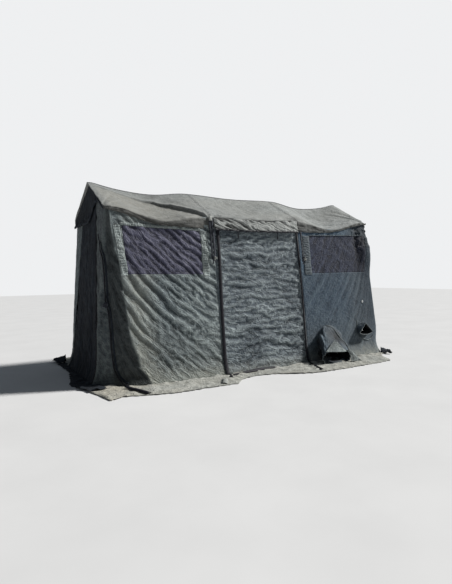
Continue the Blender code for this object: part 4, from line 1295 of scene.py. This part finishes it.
def build_straps():
    build_strap("strap_left", -STRAP_X, 1.96, 1.46, (-0.016, 0.016), 4, "tie_strap_left")
    tab = wall_line(-0.745, spread(2.0, 1.94, 0.02), 0.036)
    ribbon("strap_left_tab", tab, FACING_DOOR, 0.045, PALE_WEB_LOOK, 0.003, 0.002)
    build_strap("strap_right", STRAP_X, 1.86, 1.46, (0.0,), 9, "tie_strap_right")
    for number in range(7):
        z = 1.80 - 0.05 * number
        eyelet(f"strap_right_eyelet_{number + 1}", (STRAP_X, -(half_y(z) + 0.032), z), (1.0, 0, 0),
               (0, 0, 1.0), 0.008, 0.0024, LIP_LOOK)
    path, outs = resample(LYING_STRAP, (0, 0, 1.0), 0.02)
    ribbon("door_strap_end", path, outs, 0.07, PALE_WEB_LOOK, 0.003, 0.008)


# Sleeves: limp canvas from a hole in the wall, a square hood over it, and a flattened mouth by the ground.


@dataclass
class Sleeve:
    """The hole's place and radius, and the mouth's reach, droop, slide towards the door and flatness."""

    x: float
    z: float
    radius: float
    reach: float
    droop: float
    slide: float
    flatness: float
    seed: int
    corner: float                   # 1 for a round mouth, and less for a squarer one
    folds: float
    pointed: float                  # how much narrower the mouth is at its top


SLEEVE_BIG = Sleeve(1.10, 0.27, 0.23, 0.31, 0.17, 0.14, 0.36, seed=7, corner=0.62, folds=1.0, pointed=0.1)
SLEEVE_SMALL = Sleeve(1.81, 0.385, 0.120, 0.075, 0.025, 0.0, 1.10, seed=8, corner=1.0, folds=0.4,
                      pointed=0.85)
AROUND, OUTWARD = 120, 34

# The seam that runs round under the small sleeve.
SMALL_SEAM = ((1.710, -0.875, 0.537), (1.704, -0.890, 0.416), (1.734, -0.902, 0.323), (1.801, -0.911, 0.257),
              (1.893, -0.917, 0.219), (1.985, -0.914, 0.235), (2.041, -0.905, 0.300))


def build_sleeve(word, sleeve):
    x, z, radius, reach = sleeve.x, sleeve.z, sleeve.radius, sleeve.reach
    seed, folds = sleeve.seed, sleeve.folds
    a, t = np.meshgrid(np.linspace(0, 2 * np.pi, AROUND + 1)[:-1], np.linspace(0, 1, OUTWARD))
    ca, sa = np.cos(a), np.sin(a)
    hooded = sleeve.corner < 1
    power = mix(1.0, sleeve.corner, smooth(t * 2.5))
    wide, tall = mix(1.0, 1.12, t), mix(1.0, sleeve.flatness, t)
    flat_foot = np.where(sa < 0, mix(1.0, 1 - 0.7 * (sleeve.pointed > 0.5), t), 1.0)
    px = radius * wide * np.sign(ca) * np.abs(ca) ** power * (1 - sleeve.pointed * t * np.maximum(0, sa))
    pz = radius * tall * np.sign(sa) * np.abs(sa) ** power * flat_foot
    py = mix(half_y(z + radius * sa) + CLOTH, half_y(z) + CLOTH + reach, t)
    waves = noise(a / 0.40 + 1.5 * noise(t * 2, a, seed), t * 2.2, seed + 1)
    waves = waves + 0.6 * noise(a / 0.17, t * 5, seed + 2)
    creases = crumple(a * radius, t * reach, radius * 0.55, seed + 5)
    swell = 1 + folds * (0.09 * waves + 0.05 * creases - 0.05 * bump(t, 0.45, 0.4)) * smooth(t / 0.08)
    drawn_in = folds * 0.035 * np.maximum(0, sa) * rise(t, 0.6, 0.4)
    py = py - drawn_in * (0.5 + 0.5 * noise(a / 0.5, 0, seed + 6))
    hollow = bump(a, 1.15, 0.85) * bump(t, 0.44, 0.46) * hooded
    swell = swell - 0.30 * hollow
    height = z - sleeve.droop * t**1.5 + pz * swell
    height = np.maximum(height, 0.014 + 0.004 * noise(a * 3, t * 5, seed + 7))
    points = np.stack([x - sleeve.slide * t + px * swell, -py, height], -1)
    cloth = Cloth(points, np.stack([a * radius, t * reach], -1))
    if ((points - np.array((x, 0, z))) * cloth.out).sum() < 0:
        cloth.out = -cloth.out
    # Painted shade in the hood's hollow, on the sleeve's underside and over the whole sleeve, painted light on
    # the hood's upper panel, and tone that follows the folds.
    under = rise(a, 2.65, 0.3) * fall(a, 5.2, 0.5)
    shaded = 0.70 * mix(1.0, 0.22, np.sqrt(hollow)) * mix(1.0, 0.55, under)
    tone = (1.0 + 0.30 * waves + 0.20 * creases) * shaded * (1 + 0.6 * bump(a, 2.25, 0.45) * hooded)
    loose_piece(f"canvas_{word}", cloth, SHADED_RIGHT_LOOK, [word], "hung", ["canvas_wall_front_right"], closed=True,
                crest=cloth.crest(0.03, 0.012), soil=0.12, tone=tone)
    tube_piece(f"canvas_{word}_lip", points[-1], 0.004, LIP_LOOK, cyclic=True)
    return points


def pointed_cloth(name, corners, size, swell, soil, tone):
    """Loose cloth by the duct sleeve's mouth, from a point to an edge. swell says how it stands out."""
    u, v = unit_grid(26, 22)
    top, left, right = np.array(corners)
    place = mix(top, mix(left, right, u[..., None]), v[..., None])
    place[..., 1] -= swell(u, v)
    cloth = Cloth(place, np.stack([u * size[0], v * size[1]], -1)).face((0, -1, 0.4))
    loose_piece(name, cloth, WALL_LOOK, (), "draped", ["canvas_duct_sleeve"], crest=cloth.crest(0.03, 0.01),
                soil=soil, tone=tone)


def flap_swell(u, v):
    return 0.020 * np.sin(np.pi * u) * v + 0.006 * crumple(u * 0.3, v * 0.3, 0.08, 21)


def side_swell(u, v):
    bulge = 0.022 * np.sin(np.pi * u) * np.sin(np.pi * v)
    return bulge + 0.010 * crumple(u * 0.2, v * 0.3, 0.07, 33) * v


def build_sleeves(wall):
    big, small = build_sleeve("duct_sleeve", SLEEVE_BIG), build_sleeve("cable_sleeve", SLEEVE_SMALL)
    flap = (0.965, -1.175, 0.325), (0.705, -1.262, 0.195), (1.10, -1.268, 0.165)
    pointed_cloth("duct_sleeve_flap", flap, (0.4, 0.26), flap_swell, 0.2, 1.1)
    # The bound edge along the hollow's far side, and the end of cloth that it runs down beside the mouth.
    turn = np.interp(np.linspace(0, 1, OUTWARD), (0, 0.15, 0.35, 0.7, 1.0), (1.75, 1.2, 0.75, 0.45, 0.30))
    edge = [big[row, int(round(angle / (2 * np.pi) * AROUND))] for row, angle in enumerate(turn)]
    edge = soft_path(np.array(edge) + (0.002, -0.004, 0.004), 2)
    tube_piece("duct_sleeve_bound_edge", edge, 0.0065, LIP_LOOK)
    beside = edge[-8], (1.15, -1.31, 0.024), (1.32, -1.33, 0.026)
    pointed_cloth("duct_sleeve_side_cloth", beside, (0.2, 0.3), side_swell, 0.35, 0.85)
    seam, _ = settle_on([wall], resample(SMALL_SEAM, (0, -1.0, 0), 0.015)[0], 0.004)
    tube_piece("cable_sleeve_seam", soft_path(seam, 2), 0.006, LIP_LOOK)
    centre, out = settle_on([wall], [(1.869, -0.84, 0.814)], 0.004)
    side = np.cross(out[0], (0, 0, 1.0))
    eyelet("wall_eyelet", centre[0], side, np.cross(side, out[0]), 0.011, 0.0065, GLINT_EYELET_LOOK)
    build_lining("duct_sleeve_lining", big[-1], 0.16)
    build_lining("cable_sleeve_lining", small[-1], 0.08)


def build_lining(name, mouth, depth):
    """The lining that shows in a sleeve's mouth, made near black: painted shade of the sleeve's inside."""
    middle = mouth.mean(0)
    inner = mix(mouth, middle, 0.03) + (0, 0.012, 0)
    deep = mix(inner, middle, 0.25) + (0, depth, depth * 0.3)
    lining = np.stack([mix(inner, deep, share) for share in (0.0, 0.5, 1.0)])
    lining[..., 2] = np.maximum(lining[..., 2], 0.018)
    flat = np.stack(np.meshgrid(np.linspace(0, 1.2, lining.shape[1]), (0.0, 0.1, 0.2)), -1)
    mesh = grid_mesh(name, lining, flat, closed=True, crest=0.3, soil=0.0, tone=0.25)
    piece(name, mesh, SHADE_LOOK, thick=0.002)


# Cloth on the ground: the outer edges of its four lengths, as x and y, and as y and x at the tent's ends.

SOD_FRONT = ((-2.34, -0.92), (-2.29, -1.10), (-2.25, -1.36), (-2.08, -1.28), (-1.85, -1.36), (-1.55, -1.44),
             (-1.16, -1.43), (-0.80, -1.45), (-0.66, -1.31), (-0.42, -1.22), (-0.14, -1.27), (0.10, -1.42),
             (0.30, -1.50), (0.55, -1.52), (0.85, -1.52), (1.15, -1.51), (1.45, -1.50), (1.75, -1.480),
             (1.83, -1.364), (1.94, -1.154), (2.05, -1.07), (2.20, -1.00), (2.34, -0.92))
SOD_BACK = ((-2.33, 0.92), (-2.30, 1.36), (-1.90, 1.42), (-1.40, 1.44), (-0.80, 1.40), (-0.20, 1.43),
            (0.40, 1.40), (1.00, 1.44), (1.60, 1.46), (2.00, 1.42), (2.30, 1.36), (2.33, 0.92))
SOD_LEFT = ((-0.92, 2.34), (-0.68, 2.42), (-0.42, 2.45), (-0.10, 2.38), (0.25, 2.31), (0.92, 2.33))
SOD_RIGHT = ((-0.92, 2.20), (-0.80, 2.30), (-0.62, 2.41), *SOD_LEFT[2:])


def lay_sod(word, edge, pitch, inner_of, seed, look, end_sign=0):
    """Cloth on the ground, from the wall's foot to its own ragged edge.

    end_sign is the side of an end of the tent, and 0 in front and behind.
    """
    places, reaches = np.array(edge).T
    along = spread(places[0], places[-1], pitch)
    inner, outer = inner_of(along), np.interp(along, places, reaches)
    v = spread(0, 1, 0.024)[:, None]
    a = np.repeat(along[None], len(v), 0)
    ragged = outer + 0.012 * noise(along / 0.035, 0, seed + 8) + 0.007 * noise(along / 0.012, 3, seed + 9)
    b = mix(inner, ragged, v)
    ripples = noise(a / 0.09, b / 0.06, seed + 1) + 0.7 * crumple(a, b, 0.09, seed + 2)
    z = 0.007 + 0.012 * np.maximum(0, 0.4 + ripples) * smooth(v * np.abs(outer - inner) / 0.08)
    z = z * fade(v, 0.85, 0.15, 1.0, 0.45) + 0.004
    soil = 0.25 + 0.3 * noise(a / 0.4, b / 0.2, seed + 4)
    if end_sign == LEFT:
        z = z + 0.016 * fall(a, -0.60, 0.08)
    if word == "front":
        soil = soil + 0.6 * bump(a, -2.2, 0.5)
    x, y = (end_sign * b, a) if end_sign else (a, b)
    cloth = cloth_of(x, y, z, a, b, (0, 0, 1))
    cloth_piece(f"ground_cloth_{word}", cloth, "sod_cloth", look, [f"sod_{word}"], "laid", (), thick=0.003,
                soil=np.clip(soil, 0, 1))


def build_sods():
    def under_front(x):
        return np.interp(x, (-2.34, -2.20, -1.62), (-0.60, -0.60, -0.90))

    lay_sod("front", SOD_FRONT, 0.022, under_front, 61, SOD_LOOK)
    lay_sod("back", SOD_BACK, 0.022, lambda x: np.full_like(x, 0.90), 67, SOD_LOOK)
    # The ground cloth at the left end is in the near-black canvas: painted shade.
    lay_sod("left", SOD_LEFT, 0.02, lambda y: np.full_like(y, 2.16), 73, SHADE_LOOK, LEFT)
    lay_sod("right", SOD_RIGHT, 0.02, lambda y: np.full_like(y, 2.16), 79, SOD_LOOK, RIGHT)


def build_pulled_corner(word, corners, replaces, seed, stands):
    """A pointed end of wall cloth that stands over the ground cloth."""
    c = np.array(corners, float)
    u, v = unit_grid(22, 22)
    place = mix(mix(c[0], c[1], u[..., None]), mix(c[3], c[2], u[..., None]), v[..., None])
    height = stands * np.sin(np.pi * u) * (1 - v * 0.6) + 0.016 * noise(u * 5, v * 5, seed)
    height = height + 0.010 * crumple(u, v, 0.3, seed + 2)
    x, y = np.moveaxis(place, -1, 0)
    cloth = cloth_of(x, y, 0.020 + np.maximum(height, 0), x, y, (0, 0, 1))
    loose_piece(f"pulled_corner_{word}", cloth, SHADE_LOOK, [replaces], "laid", thick=0.004,
                crest=cloth.crest(), soil=0.1, tone=1.0)


def finish_frame():
    """Tubes and fittings stay as they are and get their metal."""
    for name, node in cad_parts.items():
        if name.startswith(("leg_", "rafter_", "eave_rail", "ridge_")):
            node.data.materials.clear()
            node.data.materials.append(STEEL_LOOK if name.startswith("ridge_joint") else TUBE_LOOK)
            node.data.shade_smooth()
            node.data.set_sharp_from_angle(angle=math.radians(35))


# Camera, light and floor.

KEY_FROM = (0.75, -0.21, 0.63)
KEY_ENERGY, KEY_COLOUR, KEY_ANGLE = 4.8, (1.0, 0.985, 0.96), math.radians(7)
ROOM_COLOUR, ROOM_STRENGTH = (0.78, 0.88, 1.0, 1.0), 0.13
BACKDROP_COLOUR = (0.86, 0.87, 0.88, 1.0)
FLOOR_SIZE = 60


def build_camera():
    data = bpy.data.cameras.new("camera")
    data.lens, data.sensor_width = CAMERA_LENS, SENSOR
    camera = bpy.data.objects.new("camera", data)
    bpy.context.scene.collection.objects.link(camera)
    level = math.cos(CAMERA_PITCH)
    forward = Vector((math.sin(CAMERA_YAW) * level, math.cos(CAMERA_YAW) * level, math.sin(CAMERA_PITCH)))
    side = Vector((math.cos(CAMERA_YAW), -math.sin(CAMERA_YAW), 0))
    up = side.cross(forward)
    turned_side = side * math.cos(CAMERA_ROLL) + up * math.sin(CAMERA_ROLL)
    turned_up = up * math.cos(CAMERA_ROLL) - side * math.sin(CAMERA_ROLL)
    turn = Matrix((turned_side, turned_up, -forward)).transposed()
    camera.matrix_world = Matrix.Translation(CAMERA_AT) @ turn.to_4x4()
    bpy.context.scene.camera = camera


def build_lights():
    """A key lamp from high on the right, in a dim bluish room with a pale background."""
    sun = bpy.data.lights.new("key", "SUN")
    sun.energy, sun.angle, sun.color = KEY_ENERGY, KEY_ANGLE, KEY_COLOUR
    key = bpy.data.objects.new("key", sun)
    key.rotation_mode = "QUATERNION"
    key.rotation_quaternion = Vector(KEY_FROM).to_track_quat("Z", "Y")
    bpy.context.scene.collection.objects.link(key)
    world = bpy.data.worlds.new("studio")
    bpy.context.scene.world = world
    world.use_nodes = True
    tree = world.node_tree
    room = tree.nodes["Background"]
    room.inputs[0].default_value = ROOM_COLOUR
    room.inputs[1].default_value = ROOM_STRENGTH
    backdrop = tree.nodes.new("ShaderNodeBackground")
    backdrop.inputs[0].default_value = BACKDROP_COLOUR
    rays = tree.nodes.new("ShaderNodeLightPath")
    either = tree.nodes.new("ShaderNodeMixShader")
    tree.links.new(rays.outputs["Is Camera Ray"], either.inputs[0])
    tree.links.new(room.outputs[0], either.inputs[1])
    tree.links.new(backdrop.outputs[0], either.inputs[2])
    tree.links.new(either.outputs[0], tree.nodes["World Output"].inputs[0])


def build_floor():
    bpy.ops.mesh.primitive_plane_add(size=FLOOR_SIZE)
    floor = bpy.context.active_object
    floor.name = "studio_floor"
    s = Shader("studio_floor")
    colour = s.blend(s.ramp(s.noise(1.5, 3.0), 0.3, 0.7), (0.68, 0.68, 0.68), (0.72, 0.72, 0.72))
    floor.data.materials.append(s.finish(Base_Color=colour, Roughness=0.9))


build_camera()
build_lights()
build_floor()
finish_frame()
walls = {(wall.side_x, wall.side_y): build_wall(wall) for wall in WALLS}
build_middle()
gables = {side: build_gable_wall(side, seed) for side, seed in ((LEFT, 83), (RIGHT, 89))}
build_gable_end(LEFT, 93)
build_gable_end(RIGHT, 97)
build_corner_seams(walls[LEFT, FRONT], gables)
build_ridge_seam(build_roof(FRONT, 101))
build_roof(BACK, 131)
build_pelmet()
build_door_zips()
build_straps()
build_sleeves(walls[RIGHT, FRONT])
build_sods()
build_pulled_corner("right", ((2.11, -1.00), (2.22, -0.90), (2.38, -0.88), (2.17, -1.17)),
                    "corner_flap_front_right", 3, 0.07)
build_pulled_corner("left", ((-2.25, 0.86), (-2.19, 1.06), (-2.36, 1.22), (-2.34, 0.96)),
                    "corner_flap_back_left", 5, 0.10)

bpy.context.scene.view_settings.view_transform = "Standard"
